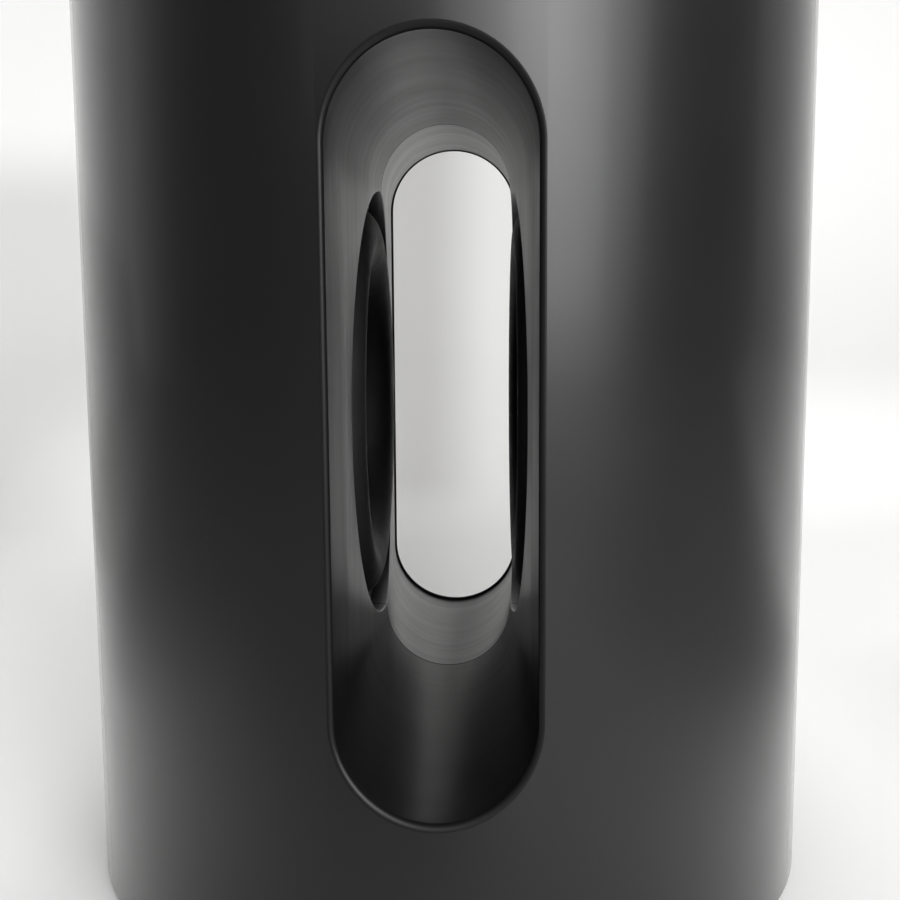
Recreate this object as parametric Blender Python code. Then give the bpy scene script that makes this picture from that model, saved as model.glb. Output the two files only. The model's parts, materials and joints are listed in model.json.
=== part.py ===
"""Compact cylindrical powered subwoofer with two opposed woofers in a see-through tunnel.

Axes: +Z up, the tunnel runs along Y with its front mouth towards -Y, and the drivers face each other
along X. The origin is the centre of the footprint, on the surface that the foot ring stands on.
"""

import math

import bmesh
import bpy
from mathutils import Matrix, Vector

MM = 0.001
GAP = 0.3 * MM
WELD = 1e-6

# Enclosure
BODY_HEIGHT = 305.0 * MM
BODY_RADIUS = 115.0 * MM
BODY_SEGMENTS = 60
WALL = 3.0 * MM
BORE_RADIUS = BODY_RADIUS - WALL
FOOT_HEIGHT = 1.2 * MM
SHELL_TOP = BODY_HEIGHT - 4.5 * MM

# Tunnel: a stadium-shaped passage, widest at the mouths and narrowest at the waist, halfway through
SLOT_CENTRE_Z = 147.0 * MM
MOUTH_HALF_WIDTH = 25.4 * MM
MOUTH_HALF_HEIGHT = 95.6 * MM
WAIST_HALF_WIDTH = 21.0 * MM
WAIST_HALF_HEIGHT = 90.5 * MM
SLEEVE_HALF_WIDTH = 27.1 * MM
SLEEVE_HALF_HEIGHT = 97.6 * MM
SLEEVE_STRAIGHT = SLEEVE_HALF_HEIGHT - SLEEVE_HALF_WIDTH
LIP_RADIUS = SLEEVE_HALF_WIDTH - MOUTH_HALF_WIDTH
LIP_STEPS = 2
ARC_STEPS = 14
WINDOW_RADIUS = 69.0 * MM
RIB_HALF_WIDTH = 27.0 * MM
RIB_TOP = 106.0 * MM
PLATE_RIB_Y = 60.0 * MM
RIB_THICKNESS = 12.0 * MM
WAIST_RIB_THICKNESS = 8.0 * MM
WAIST_SCREW_X = 16.0 * MM
WAIST_SCREW_Z = 98.5 * MM
PLATE_SCREW_Z = 101.5 * MM
PLATE_HALF_WIDTH = 80.0 * MM
SCREW_HOLE = 1.9 * MM

# Drivers, measured along their own axis from the tunnel's centre plane
PLATE_FACE = SLEEVE_HALF_WIDTH + GAP
PLATE_BACK = PLATE_FACE + 3.6 * MM
FLANGE_FACE = PLATE_BACK + 1.6 * MM
FLANGE_BACK = FLANGE_FACE + 2.4 * MM
FLANGE_RADIUS = 78.0 * MM
BOLT_CIRCLE = 73.0 * MM
ROLL_CENTRE_RADIUS = 55.0 * MM
ROLL_OUTER = 9.9 * MM
ROLL_INNER = 9.0 * MM
ROLL_CREST = 21.8 * MM
CONE_RIM_RADIUS = 46.0 * MM
CONE_MOUTH_RADIUS = 42.0 * MM
CONE_NECK_RADIUS = 19.6 * MM
CONE_DEPTH = 18.4 * MM
CAP_RIM_RADIUS = 28.0 * MM
COIL_BORE = 18.7 * MM
SPIDER_LEVEL = 55.2 * MM
TOP_PLATE_FACE = 69.2 * MM
MAGNET_FACE = 75.5 * MM
MAGNET_RADIUS = 42.0 * MM
YOKE_FACE = 91.8 * MM
YOKE_BACK = 97.8 * MM
DRIVER_SEGMENTS = 24
HIDDEN_SEGMENTS = 20

# Electronics under the tunnel, and the connector recess at the back
BASE_TOP = 5.5 * MM
BOARD_BOTTOM = 12.0 * MM
BOARD_TOP = BOARD_BOTTOM + 1.6 * MM
BOARD_REAR = 84.0 * MM
BOSS_RING_RADIUS = 107.4 * MM
BOSS_RADIUS = 5.0 * MM
BOSS_BOTTOM = 7.3 * MM
FIRST_BOSS_ANGLE = math.radians(27)
RECESS_HALF_WIDTH = 30.0 * MM
RECESS_BOTTOM = 10.0 * MM
RECESS_TOP = 31.0 * MM
RECESS_WALL = 2.6 * MM
PANEL_FACE = 87.0 * MM
INLET_X = -16.5 * MM
INLET_Z = 21.0 * MM
PIN_HALF_SPACING = 4.3 * MM
JACK_X = 16.5 * MM
BUTTON_Z = 40.5 * MM
BUTTON_RADIUS = 4.0 * MM
LENS_X = 12.0 * MM
LENS_RADIUS = 1.2 * MM

# Finishes: colour, roughness, metallic
SATIN_BLACK = ((0.020, 0.020, 0.021), 0.42, 0.0)
MOULDED_BLACK = ((0.016, 0.016, 0.016), 0.55, 0.0)
RUBBER_BLACK = ((0.011, 0.011, 0.011), 0.65, 0.0)
CONE_BLACK = ((0.008, 0.008, 0.008), 0.70, 0.0)
PAINTED_STEEL = ((0.030, 0.030, 0.032), 0.50, 0.6)
ZINC_STEEL = ((0.580, 0.570, 0.550), 0.35, 1.0)
FERRITE = ((0.045, 0.045, 0.048), 0.75, 0.0)
COPPER = ((0.700, 0.300, 0.150), 0.35, 1.0)
PAPER_TAN = ((0.420, 0.270, 0.130), 0.80, 0.0)
CIRCUIT_GREEN = ((0.015, 0.110, 0.045), 0.45, 0.0)
ALUMINIUM = ((0.720, 0.720, 0.730), 0.40, 1.0)
FOAM_GREY = ((0.090, 0.090, 0.095), 0.95, 0.0)
CLEAR_LENS = ((0.750, 0.760, 0.760), 0.15, 0.0)
NICKEL = ((0.650, 0.620, 0.560), 0.25, 1.0)


# ---------------------------------------------------------------- shape helpers

def clear_scene():
    for thing in list(bpy.data.objects):
        bpy.data.objects.remove(thing, do_unlink=True)


def turned(profile, segments):
    """A solid of revolution about Z from a closed outline of (radius, height) points."""
    shape = bmesh.new()
    corners = [shape.verts.new((radius, 0.0, height)) for radius, height in profile]
    edges = []
    for start, end in zip(corners, corners[1:] + corners[:1]):
        if start.co.x > WELD or end.co.x > WELD:
            edges.append(shape.edges.new((start, end)))
    bmesh.ops.spin(shape, geom=corners + edges, cent=(0, 0, 0), axis=(0, 0, 1),
                   angle=math.tau, steps=segments, use_merge=True)
    bmesh.ops.remove_doubles(shape, verts=shape.verts, dist=WELD)
    return shape


def cylinder(radius, low, high, segments=16):
    return turned([(0.0, low), (radius, low), (radius, high), (0.0, high)], segments)


def ring(inner, outer, low, high, segments):
    return turned([(inner, low), (outer, low), (outer, high), (inner, high)], segments)


def extruded(outline, low, high, axis):
    """A prism along axis. The outline holds the other two coordinates, in X, Y, Z order."""
    def corner(point, depth):
        place = list(point)
        place.insert("XYZ".index(axis), depth)
        return place

    shape = bmesh.new()
    near = [shape.verts.new(corner(point, low)) for point in outline]
    far = [shape.verts.new(corner(point, high)) for point in outline]
    close_tube(shape, near, far)
    shape.faces.new(near)
    shape.faces.new(far)
    return shape


def close_tube(shape, near, far):
    for i in range(len(near)):
        shape.faces.new((near[i - 1], near[i], far[i], far[i - 1]))


def box(low, high):
    outline = [(low[0], low[1]), (high[0], low[1]), (high[0], high[1]), (low[0], high[1])]
    return extruded(outline, low[2], high[2], "Z")


def rounded_rectangle(low, high, radius, steps=4):
    outline = []
    for turn, (across, up) in enumerate(((1, 1), (0, 1), (0, 0), (1, 0))):
        centre_across = high[0] - radius if across else low[0] + radius
        centre_up = high[1] - radius if up else low[1] + radius
        for step in range(steps + 1):
            angle = math.pi / 2 * (turn + step / steps)
            outline.append((centre_across + radius * math.cos(angle),
                            centre_up + radius * math.sin(angle)))
    return outline


def facing(point, direction):
    """The placement that moves the origin to point and turns +Z towards direction."""
    turn = Vector((0, 0, 1)).rotation_difference(Vector(direction)).to_matrix().to_4x4()
    return Matrix.Translation(point) @ turn


def face_outwards(shape):
    bmesh.ops.recalc_face_normals(shape, faces=shape.faces)
    if shape.calc_volume(signed=True) < 0:
        bmesh.ops.reverse_faces(shape, faces=shape.faces)


def copies(build, places):
    """One mesh with a separate copy of a shape at each placement, to cut or join several at once."""
    group = bmesh.new()
    for place in places:
        single = build()
        single.transform(place)
        face_outwards(single)
        mesh = bpy.data.meshes.new("copy")
        single.to_mesh(mesh)
        single.free()
        group.from_mesh(mesh)
        bpy.data.meshes.remove(mesh)
    return group


def solid_from(shape):
    face_outwards(shape)
    mesh = bpy.data.meshes.new("solid")
    shape.to_mesh(mesh)
    shape.free()
    solid = bpy.data.objects.new("solid", mesh)
    bpy.context.collection.objects.link(solid)
    return solid


def combine(solid, shape, operation):
    """Join, cut or trim a solid with a shape that is used up."""
    tool = solid_from(shape)
    modifier = solid.modifiers.new(operation, "BOOLEAN")
    modifier.operation = operation
    modifier.object = tool
    graph = bpy.context.evaluated_depsgraph_get()
    result = bpy.data.meshes.new_from_object(solid.evaluated_get(graph))
    solid.modifiers.clear()
    solid.data = result
    bpy.data.objects.remove(tool)
    return solid


def join(solid, shape):
    return combine(solid, shape, "UNION")


def cut(solid, shape):
    return combine(solid, shape, "DIFFERENCE")


def trim(solid, shape):
    return combine(solid, shape, "INTERSECT")


def make_material(name, colour, roughness, metallic):
    material = bpy.data.materials.new(name)
    material.use_nodes = True
    shader = material.node_tree.nodes["Principled BSDF"]
    shader.inputs["Base Color"].default_value = (*colour, 1.0)
    shader.inputs["Roughness"].default_value = roughness
    shader.inputs["Metallic"].default_value = metallic
    return material


def add_part(name, shape, finish, parent=None, smooth=True):
    """Turn a shape or a solid into a named sub-part with its own material."""
    part = solid_from(shape) if isinstance(shape, bmesh.types.BMesh) else shape
    part.name = name
    part.data.name = name
    part.data.materials.clear()
    part.data.materials.append(make_material(name + "_finish", *finish))
    if smooth:
        part.data.shade_smooth()
        part.data.set_sharp_from_angle(angle=math.radians(35))
    part.parent = parent
    return part


def screw(head_radius, head_height, shank_radius, length):
    """A screw along Z: its head stands on the origin's plane and its shank reaches down."""
    return turned([(0.0, -length), (shank_radius, -length), (shank_radius, 0.0), (head_radius, 0.0),
                   (head_radius, head_height * 0.6), (head_radius * 0.7, head_height),
                   (0.0, head_height)], 10)


# ---------------------------------------------------------------- enclosure

def stadium(half_width, half_height):
    """Points (x, z) around a stadium that is centred on the origin."""
    straight = half_height - half_width
    outline = []
    for end in (1, -1):
        for step in range(ARC_STEPS + 1):
            angle = math.pi * step / ARC_STEPS
            outline.append((end * half_width * math.cos(angle),
                            end * (straight + half_width * math.sin(angle))))
    return outline


def raised(outline, height):
    return [(x, z + height) for x, z in outline]


def base_screw_places(z, direction):
    places = []
    for step in range(6):
        angle = FIRST_BOSS_ANGLE + math.radians(60 * step)
        point = (BOSS_RING_RADIUS * math.sin(angle), BOSS_RING_RADIUS * math.cos(angle), z)
        places.append(facing(point, direction))
    return places


def make_outer_shell():
    solid = solid_from(ring(BORE_RADIUS, BODY_RADIUS, FOOT_HEIGHT, SHELL_TOP, BODY_SEGMENTS))
    bosses = base_screw_places(BOSS_BOTTOM, (0, 0, 1))
    join(solid, copies(lambda: cylinder(BOSS_RADIUS, 0.0, 22.0 * MM, 10), bosses))
    cut(solid, copies(lambda: cylinder(1.8 * MM, -GAP, 12.0 * MM, 8), bosses))
    opening = stadium(SLEEVE_HALF_WIDTH + GAP, SLEEVE_HALF_HEIGHT + GAP)
    reach = BODY_RADIUS * 1.2
    cut(solid, extruded(raised(opening, SLOT_CENTRE_Z), -reach, reach, "Y"))
    recess = rounded_rectangle((-RECESS_HALF_WIDTH, RECESS_BOTTOM),
                               (RECESS_HALF_WIDTH, RECESS_TOP), 4.0 * MM)
    cut(solid, extruded(recess, BODY_RADIUS * 0.7, reach, "Y"))
    button_hole = facing((0, BODY_RADIUS * 0.9, BUTTON_Z), (0, 1, 0))
    lens_hole = facing((LENS_X, BODY_RADIUS * 0.9, BUTTON_Z), (0, 1, 0))
    cut(solid, copies(lambda: cylinder(BUTTON_RADIUS + 0.4 * MM, 0, 20 * MM, 20), [button_hole]))
    cut(solid, copies(lambda: cylinder(LENS_RADIUS + GAP, 0, 20 * MM, 12), [lens_hole]))
    add_part("outer_shell", solid, SATIN_BLACK)


def make_top_cap():
    edge_radius = 3.5 * MM
    underside = SHELL_TOP + GAP
    profile = [(0.0, BODY_HEIGHT)]
    for step in range(4):
        angle = math.pi / 2 * (1 - step / 3)
        profile.append((BODY_RADIUS - edge_radius * (1 - math.cos(angle)),
                        BODY_HEIGHT - edge_radius * (1 - math.sin(angle))))
    skirt_outer = BORE_RADIUS - GAP
    skirt_inner = skirt_outer - 3.0 * MM
    profile += [(BODY_RADIUS, underside), (skirt_outer, underside),
                (skirt_outer, underside - 9 * MM), (skirt_inner, underside - 9 * MM),
                (skirt_inner, underside + 0.8 * MM), (0.0, underside + 0.8 * MM)]
    add_part("top_cap", turned(profile, BODY_SEGMENTS), SATIN_BLACK)


def make_base():
    underside = FOOT_HEIGHT + GAP
    plate = solid_from(cylinder(BORE_RADIUS - GAP, underside, BASE_TOP, BODY_SEGMENTS))
    posts = [Matrix.Translation((x * MM, y * MM, 0)) for x in (-69, -7, 7, 69) for y in (-39, 55)]
    join(plate, copies(lambda: cylinder(3 * MM, underside + 1 * MM, BOARD_BOTTOM - GAP, 8), posts))
    holes = base_screw_places(underside, (0, 0, 1))
    cut(plate, copies(lambda: cylinder(SCREW_HOLE, -1 * MM, 10 * MM, 8), holes))
    cut(plate, copies(lambda: cylinder(3.5 * MM, -1 * MM, 2.2 * MM, 10), holes))
    add_part("base_plate", plate, MOULDED_BLACK)
    for number, place in enumerate(base_screw_places(underside + 1.9 * MM, (0, 0, -1)), 1):
        base_screw = screw(3.1 * MM, 1.6 * MM, 1.5 * MM, 13 * MM)
        base_screw.transform(place)
        add_part(f"base_screw_{number}", base_screw, ZINC_STEEL)
    add_part("base_gasket", ring(109.8 * MM, BORE_RADIUS - 2 * GAP, BASE_TOP + GAP,
                                 BOSS_BOTTOM - GAP, BODY_SEGMENTS), RUBBER_BLACK)
    add_part("foot_ring", ring(82 * MM, 103 * MM, 0.0, FOOT_HEIGHT, 40), RUBBER_BLACK)


# ---------------------------------------------------------------- tunnel

def sleeve_ring(shape, half_width, half_height, depth_at):
    """One loop of the tunnel's skin; depth_at gives the distance from the waist at each x."""
    return [shape.verts.new((x, depth_at(x), z + SLOT_CENTRE_Z))
            for x, z in stadium(half_width, half_height)]


def tunnel_sleeve():
    """The rear half: a straight outside, a rounded lip on the shell's surface, a drafted inside."""
    def at_seam(x):
        return GAP / 2

    def below_surface(depth):
        return lambda x: math.sqrt(BODY_RADIUS ** 2 - x ** 2) - depth

    shape = bmesh.new()
    loops = [sleeve_ring(shape, SLEEVE_HALF_WIDTH, SLEEVE_HALF_HEIGHT, at_seam)]
    for step in range(LIP_STEPS + 1):
        angle = math.pi / 2 * step / LIP_STEPS
        inset = LIP_RADIUS * math.sin(angle)
        sink = LIP_RADIUS * (1 - math.cos(angle))
        loops.append(sleeve_ring(shape, SLEEVE_HALF_WIDTH - inset, SLEEVE_HALF_HEIGHT - inset,
                                 below_surface(sink)))
    loops.append(sleeve_ring(shape, WAIST_HALF_WIDTH, WAIST_HALF_HEIGHT, at_seam))
    for near, far in zip(loops, loops[1:] + loops[:1]):
        close_tube(shape, near, far)
    return shape


def rib_outline(end):
    """A rib that stands on the sleeve's round end; end is 1 for the top, -1 for the bottom."""
    bedded = SLEEVE_HALF_WIDTH - 1.5 * MM
    arch = []
    for step in range(ARC_STEPS + 1):
        angle = math.pi * step / ARC_STEPS
        arch.append((bedded * math.cos(angle), SLEEVE_STRAIGHT + bedded * math.sin(angle)))
    corners = [(-RIB_HALF_WIDTH, SLEEVE_STRAIGHT), (-RIB_HALF_WIDTH, RIB_TOP),
               (RIB_HALF_WIDTH, RIB_TOP), (RIB_HALF_WIDTH, SLEEVE_STRAIGHT)]
    return [(x, end * z + SLOT_CENTRE_Z) for x, z in arch + corners]


def waist_screw_places(y, direction):
    return [facing((x, y, SLOT_CENTRE_Z + z), direction)
            for x in (-WAIST_SCREW_X, WAIST_SCREW_X) for z in (-WAIST_SCREW_Z, WAIST_SCREW_Z)]


def plate_screw_places(half):
    places = []
    for side in (-1, 1):
        for end in (-1, 1):
            point = (side * RIB_HALF_WIDTH, half * PLATE_RIB_Y, SLOT_CENTRE_Z + end * PLATE_SCREW_Z)
            places.append(facing(point, (side, 0, 0)))
    return places


def make_tunnel_half(name, half):
    """half is -1 for the front piece, 1 for the rear one."""
    sleeve = tunnel_sleeve()
    sleeve.transform(Matrix.Diagonal((1, half, 1, 1)))
    solid = solid_from(sleeve)
    waist_span = sorted((half * GAP / 2, half * (WAIST_RIB_THICKNESS + GAP / 2)))
    plate_span = (half * PLATE_RIB_Y - RIB_THICKNESS / 2, half * PLATE_RIB_Y + RIB_THICKNESS / 2)
    for end in (1, -1):
        for low, high in (waist_span, plate_span):
            join(solid, extruded(rib_outline(end), low, high, "Y"))
    window = facing((-0.04, 0, SLOT_CENTRE_Z), (1, 0, 0))
    cut(solid, copies(lambda: cylinder(WINDOW_RADIUS, 0, 0.08, 48), [window]))
    pilots = plate_screw_places(half)
    cut(solid, copies(lambda: cylinder(SCREW_HOLE, -11 * MM, 1 * MM, 8), pilots))
    through = waist_screw_places(0, (0, 1, 0))
    cut(solid, copies(lambda: cylinder(SCREW_HOLE, -12 * MM, 12 * MM, 8), through))
    if half == 1:
        cut(solid, seal_ring(0.0))
    add_part(name, solid, SATIN_BLACK)


def seal_ring(clearance):
    """The seal's band in the rear half's end face; with no clearance it is the groove."""
    middle_width = (SLEEVE_HALF_WIDTH + WAIST_HALF_WIDTH) / 2
    middle_height = (SLEEVE_HALF_HEIGHT + WAIST_HALF_HEIGHT) / 2
    half_band = 1.2 * MM - clearance
    low = GAP / 2 + clearance
    high = 2.4 * MM - clearance
    if clearance == 0.0:
        low = -1.0 * MM
    shape = bmesh.new()
    loops = []
    for offset, depth in ((half_band, low), (half_band, high), (-half_band, high), (-half_band, low)):
        loops.append(sleeve_ring(shape, middle_width + offset, middle_height + offset,
                                 lambda x, depth=depth: depth))
    for near, far in zip(loops, loops[1:] + loops[:1]):
        close_tube(shape, near, far)
    return shape


def make_tunnel_seals():
    """The round windows part the seal into an arch over the tunnel and one under it."""
    for name, end in (("tunnel_seal_top", 1), ("tunnel_seal_bottom", -1)):
        seal = solid_from(seal_ring(GAP))
        heights = sorted((end * (WINDOW_RADIUS + GAP), end * SLEEVE_HALF_HEIGHT))
        trim(seal, box((-0.04, -0.01, SLOT_CENTRE_Z + heights[0]),
                       (0.04, 0.01, SLOT_CENTRE_Z + heights[1])))
        add_part(name, seal, RUBBER_BLACK)


# ---------------------------------------------------------------- drivers
# Each driver is built along its own axis: Z is the distance from the tunnel's centre plane,
# and its parent empty turns that axis to the left or to the right.

def driver_axis(side, sign):
    axis = bpy.data.objects.new(side + "_driver_axis", None)
    axis.location = (0, 0, SLOT_CENTRE_Z)
    axis.rotation_euler = (0, sign * math.pi / 2, 0)
    bpy.context.collection.objects.link(axis)
    return axis


def bolt_places(height):
    places = []
    for step in range(6):
        angle = math.radians(30 + 60 * step)
        point = (BOLT_CIRCLE * math.cos(angle), BOLT_CIRCLE * math.sin(angle), height)
        places.append(facing(point, (0, 0, 1)))
    return places


def make_baffle_plate(side, axis):
    outline = rounded_rectangle((-RIB_TOP - 1 * MM, -PLATE_HALF_WIDTH),
                                (RIB_TOP + 1 * MM, PLATE_HALF_WIDTH), 8 * MM)
    solid = solid_from(extruded(outline, PLATE_FACE, PLATE_BACK, "Z"))
    cut(solid, cylinder(WINDOW_RADIUS - 1 * MM, 0, 0.05, 40))
    cut(solid, copies(lambda: cylinder(SCREW_HOLE, -0.01, 0.01, 8), bolt_places(PLATE_BACK)))
    corners = [facing((x, y, PLATE_BACK), (0, 0, 1))
               for x in (-PLATE_SCREW_Z, PLATE_SCREW_Z) for y in (-PLATE_RIB_Y, PLATE_RIB_Y)]
    cut(solid, copies(lambda: cylinder(SCREW_HOLE, -0.01, 0.01, 8), corners))
    add_part(side + "_baffle_plate", solid, MOULDED_BLACK, axis)


def basket_profile():
    seat = TOP_PLATE_FACE - 3 * MM
    outer = [(FLANGE_RADIUS, FLANGE_FACE), (FLANGE_RADIUS, FLANGE_BACK), (67 * MM, FLANGE_BACK),
             (52 * MM, 56 * MM), (46 * MM, 62 * MM), (42 * MM, seat + 2.7 * MM)]
    inner = [(22.5 * MM, seat + 2.7 * MM), (22.5 * MM, seat), (38 * MM, seat), (43 * MM, 59 * MM),
             (43 * MM, 56.4 * MM), (49 * MM, 56.4 * MM), (49 * MM, 54 * MM),
             (60.5 * MM, FLANGE_BACK), (60.5 * MM, FLANGE_FACE)]
    return outer + inner


def make_basket(side, axis):
    solid = solid_from(turned(basket_profile(), HIDDEN_SEGMENTS))
    bars = [Matrix.Rotation(math.radians(60 * step), 4, "Z") for step in range(3)]
    cut(solid, copies(lambda: box((-0.08, -13 * MM, 39 * MM), (0.08, 13 * MM, 53 * MM)), bars))
    cut(solid, copies(lambda: cylinder(SCREW_HOLE, -0.01, 0.01, 8), bolt_places(FLANGE_BACK)))
    add_part(side + "_basket", solid, PAINTED_STEEL, axis)


def surround_profile():
    """A half roll with a flat flange on each side; the roll bulges towards the tunnel."""
    middle = ROLL_CREST + ROLL_OUTER
    thickness = ROLL_OUTER - ROLL_INNER
    steps = 6
    crest = []
    inside = []
    for step in range(steps + 1):
        angle = math.pi * step / steps
        across = math.cos(angle)
        up = math.sin(angle)
        crest.append((ROLL_CENTRE_RADIUS + ROLL_OUTER * across, middle - ROLL_OUTER * up))
        inside.append((ROLL_CENTRE_RADIUS + ROLL_INNER * across, middle + GAP - ROLL_INNER * up))
    inside.reverse()
    foot = middle + thickness - GAP
    outer_flange = [(67.5 * MM, foot), (67.5 * MM, middle)]
    inner_flange = [(CONE_MOUTH_RADIUS, middle), (CONE_MOUTH_RADIUS, foot)]
    landing_in = (ROLL_CENTRE_RADIUS - ROLL_INNER, foot)
    landing_out = (ROLL_CENTRE_RADIUS + ROLL_INNER, foot)
    return outer_flange + crest + inner_flange + [landing_in] + inside[1:-1] + [landing_out]


def cone_height(radius):
    """The cone's front surface: a slightly flared funnel from its mouth to its neck."""
    travel = (CONE_MOUTH_RADIUS - radius) / (CONE_MOUTH_RADIUS - CONE_NECK_RADIUS)
    return FLANGE_FACE + CONE_DEPTH * travel ** 0.92


def make_cone(side, axis):
    skin = 1.1 * MM
    radii = [CONE_MOUTH_RADIUS + (CONE_NECK_RADIUS - CONE_MOUTH_RADIUS) * step / 4 for step in range(5)]
    front = [(CONE_RIM_RADIUS, FLANGE_FACE)] + [(radius, cone_height(radius)) for radius in radii]
    back = [(radius, cone_height(radius) + skin * 1.3) for radius in reversed(radii[1:])]
    rim = [(CONE_MOUTH_RADIUS - 1 * MM, FLANGE_FACE + skin * 2), (CONE_RIM_RADIUS, FLANGE_FACE + skin)]
    add_part(side + "_cone", turned(front + back + rim, DRIVER_SEGMENTS), CONE_BLACK, axis)


def make_dust_cap(side, axis):
    """A dish that carries the cone's hollow on across its middle."""
    rim_height = cone_height(CAP_RIM_RADIUS) - GAP
    dish_depth = 4.5 * MM
    skin = 0.9 * MM
    steps = 3
    back = []
    front = []
    for step in range(steps + 1):
        radius = CAP_RIM_RADIUS * (1 - step / steps)
        height = rim_height - skin + dish_depth * (1 - (radius / CAP_RIM_RADIUS) ** 2)
        front.append((radius, height - skin * 0.6))
        back.append((radius, height))
    back.reverse()
    cap = turned(front + back, DRIVER_SEGMENTS)
    add_part(side + "_dust_cap", cap, CONE_BLACK, axis)


def make_motor(side, axis):
    neck = FLANGE_FACE + CONE_DEPTH
    add_part(side + "_voice_coil_former",
             ring(COIL_BORE, COIL_BORE + 0.6 * MM, neck + 0.3 * MM, 81 * MM, HIDDEN_SEGMENTS),
             PAPER_TAN, axis)
    add_part(side + "_voice_coil",
             ring(COIL_BORE + 0.9 * MM, COIL_BORE + 1.9 * MM, 64.2 * MM, 80.2 * MM, HIDDEN_SEGMENTS),
             COPPER, axis)
    add_part(side + "_top_plate",
             ring(21.4 * MM, 38 * MM, TOP_PLATE_FACE, MAGNET_FACE - GAP, HIDDEN_SEGMENTS), ZINC_STEEL, axis)
    add_part(side + "_magnet",
             ring(25 * MM, MAGNET_RADIUS, MAGNET_FACE, YOKE_FACE - GAP, HIDDEN_SEGMENTS), FERRITE, axis)
    vent = 6 * MM
    pole = COIL_BORE - 0.5 * MM
    yoke = [(vent, TOP_PLATE_FACE), (pole, TOP_PLATE_FACE), (pole, YOKE_FACE), (39 * MM, YOKE_FACE),
            (39 * MM, YOKE_BACK), (vent, YOKE_BACK)]
    add_part(side + "_yoke", turned(yoke, HIDDEN_SEGMENTS), ZINC_STEEL, axis)


def make_spider(side, axis):
    """A corrugated cloth disc that centres the voice coil in its gap."""
    cloth = 0.8 * MM
    inner = COIL_BORE + 0.9 * MM
    lower = [(inner, SPIDER_LEVEL)]
    for step in range(1, 4):
        swing = 1.3 * MM * (1 if step % 2 else -1)
        lower.append((inner + step * 6.0 * MM, SPIDER_LEVEL + swing))
    lower += [(43.6 * MM, SPIDER_LEVEL), (48.6 * MM, SPIDER_LEVEL)]
    upper = [(radius, height + cloth) for radius, height in reversed(lower)]
    add_part(side + "_spider", turned(lower + upper, HIDDEN_SEGMENTS), PAPER_TAN, axis)


def make_driver(side, sign):
    axis = driver_axis(side, sign)
    make_baffle_plate(side, axis)
    make_basket(side, axis)
    add_part(side + "_driver_gasket",
             ring(68.5 * MM, 71 * MM, PLATE_BACK + GAP, FLANGE_FACE - GAP, HIDDEN_SEGMENTS),
             RUBBER_BLACK, axis)
    add_part(side + "_surround", turned(surround_profile(), DRIVER_SEGMENTS), RUBBER_BLACK, axis)
    make_cone(side, axis)
    make_dust_cap(side, axis)
    make_motor(side, axis)
    make_spider(side, axis)
    downward = sorted((sign * 68.4 * MM, sign * 76.0 * MM))
    terminal = box((downward[0], -8 * MM, FLANGE_BACK + GAP),
                   (downward[1], 8 * MM, FLANGE_BACK + 7 * MM))
    add_part(side + "_terminal", terminal, MOULDED_BLACK, axis, smooth=False)


# ---------------------------------------------------------------- cables

def smooth_route(stops, steps=4):
    """Points along a Catmull-Rom curve through the stops."""
    stops = [Vector(stop) * MM for stop in stops]
    padded = [2 * stops[0] - stops[1]] + stops + [2 * stops[-1] - stops[-2]]
    points = []
    for before, start, end, after in zip(padded, padded[1:], padded[2:], padded[3:]):
        for step in range(steps):
            t = step / steps
            points.append(0.5 * ((2 * start) + (end - before) * t
                                 + (2 * before - 5 * start + 4 * end - after) * t ** 2
                                 + (3 * start - before - 3 * end + after) * t ** 3))
    points.append(stops[-1])
    return points


def make_cable(name, stops, radius):
    curve = bpy.data.curves.new(name, "CURVE")
    curve.dimensions = "3D"
    curve.bevel_depth = radius
    curve.bevel_resolution = 2
    curve.use_fill_caps = True
    points = smooth_route(stops)
    spline = curve.splines.new("POLY")
    spline.points.add(len(points) - 1)
    for target, point in zip(spline.points, points):
        target.co = (*point, 1.0)
    cable = bpy.data.objects.new(name, curve)
    bpy.context.collection.objects.link(cable)
    curve.materials.append(make_material(name + "_finish", *RUBBER_BLACK))


def make_cables():
    make_cable("left_driver_cable",
               [(9, -37, 15.4), (8, -37, 22), (-4, -37, 28), (-30, -37, 29), (-48, -28, 34),
                (-50, -10, 48), (-42, -1, 62), (-39.4, 0, 70.4)], 1.4 * MM)
    make_cable("right_driver_cable",
               [(15, -37, 15.4), (17, -37, 24), (34, -33, 32), (48, -18, 44), (45, -4, 58),
                (39.4, 0, 70.4)], 1.4 * MM)


# ---------------------------------------------------------------- electronics

def make_boards():
    for name, low_x, high_x in (("power_supply_board", -74, -2), ("amplifier_board", 2, 74)):
        board = box((low_x * MM, -44 * MM, BOARD_BOTTOM), (high_x * MM, BOARD_REAR, BOARD_TOP))
        add_part(name, board, CIRCUIT_GREEN, smooth=False)


def comb_outline(low_x, high_x, base, floor, top, fins):
    """A heat sink's section: a floor with upright fins of the same width as the gaps."""
    pitch = (high_x - low_x) / (2 * fins - 1)
    outline = [(low_x, base)]
    for fin in range(fins):
        start = low_x + 2 * fin * pitch
        outline += [(start, top), (start + pitch, top)]
        if fin < fins - 1:
            outline += [(start + pitch, floor), (start + 2 * pitch, floor)]
    outline.append((high_x, base))
    return outline


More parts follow.
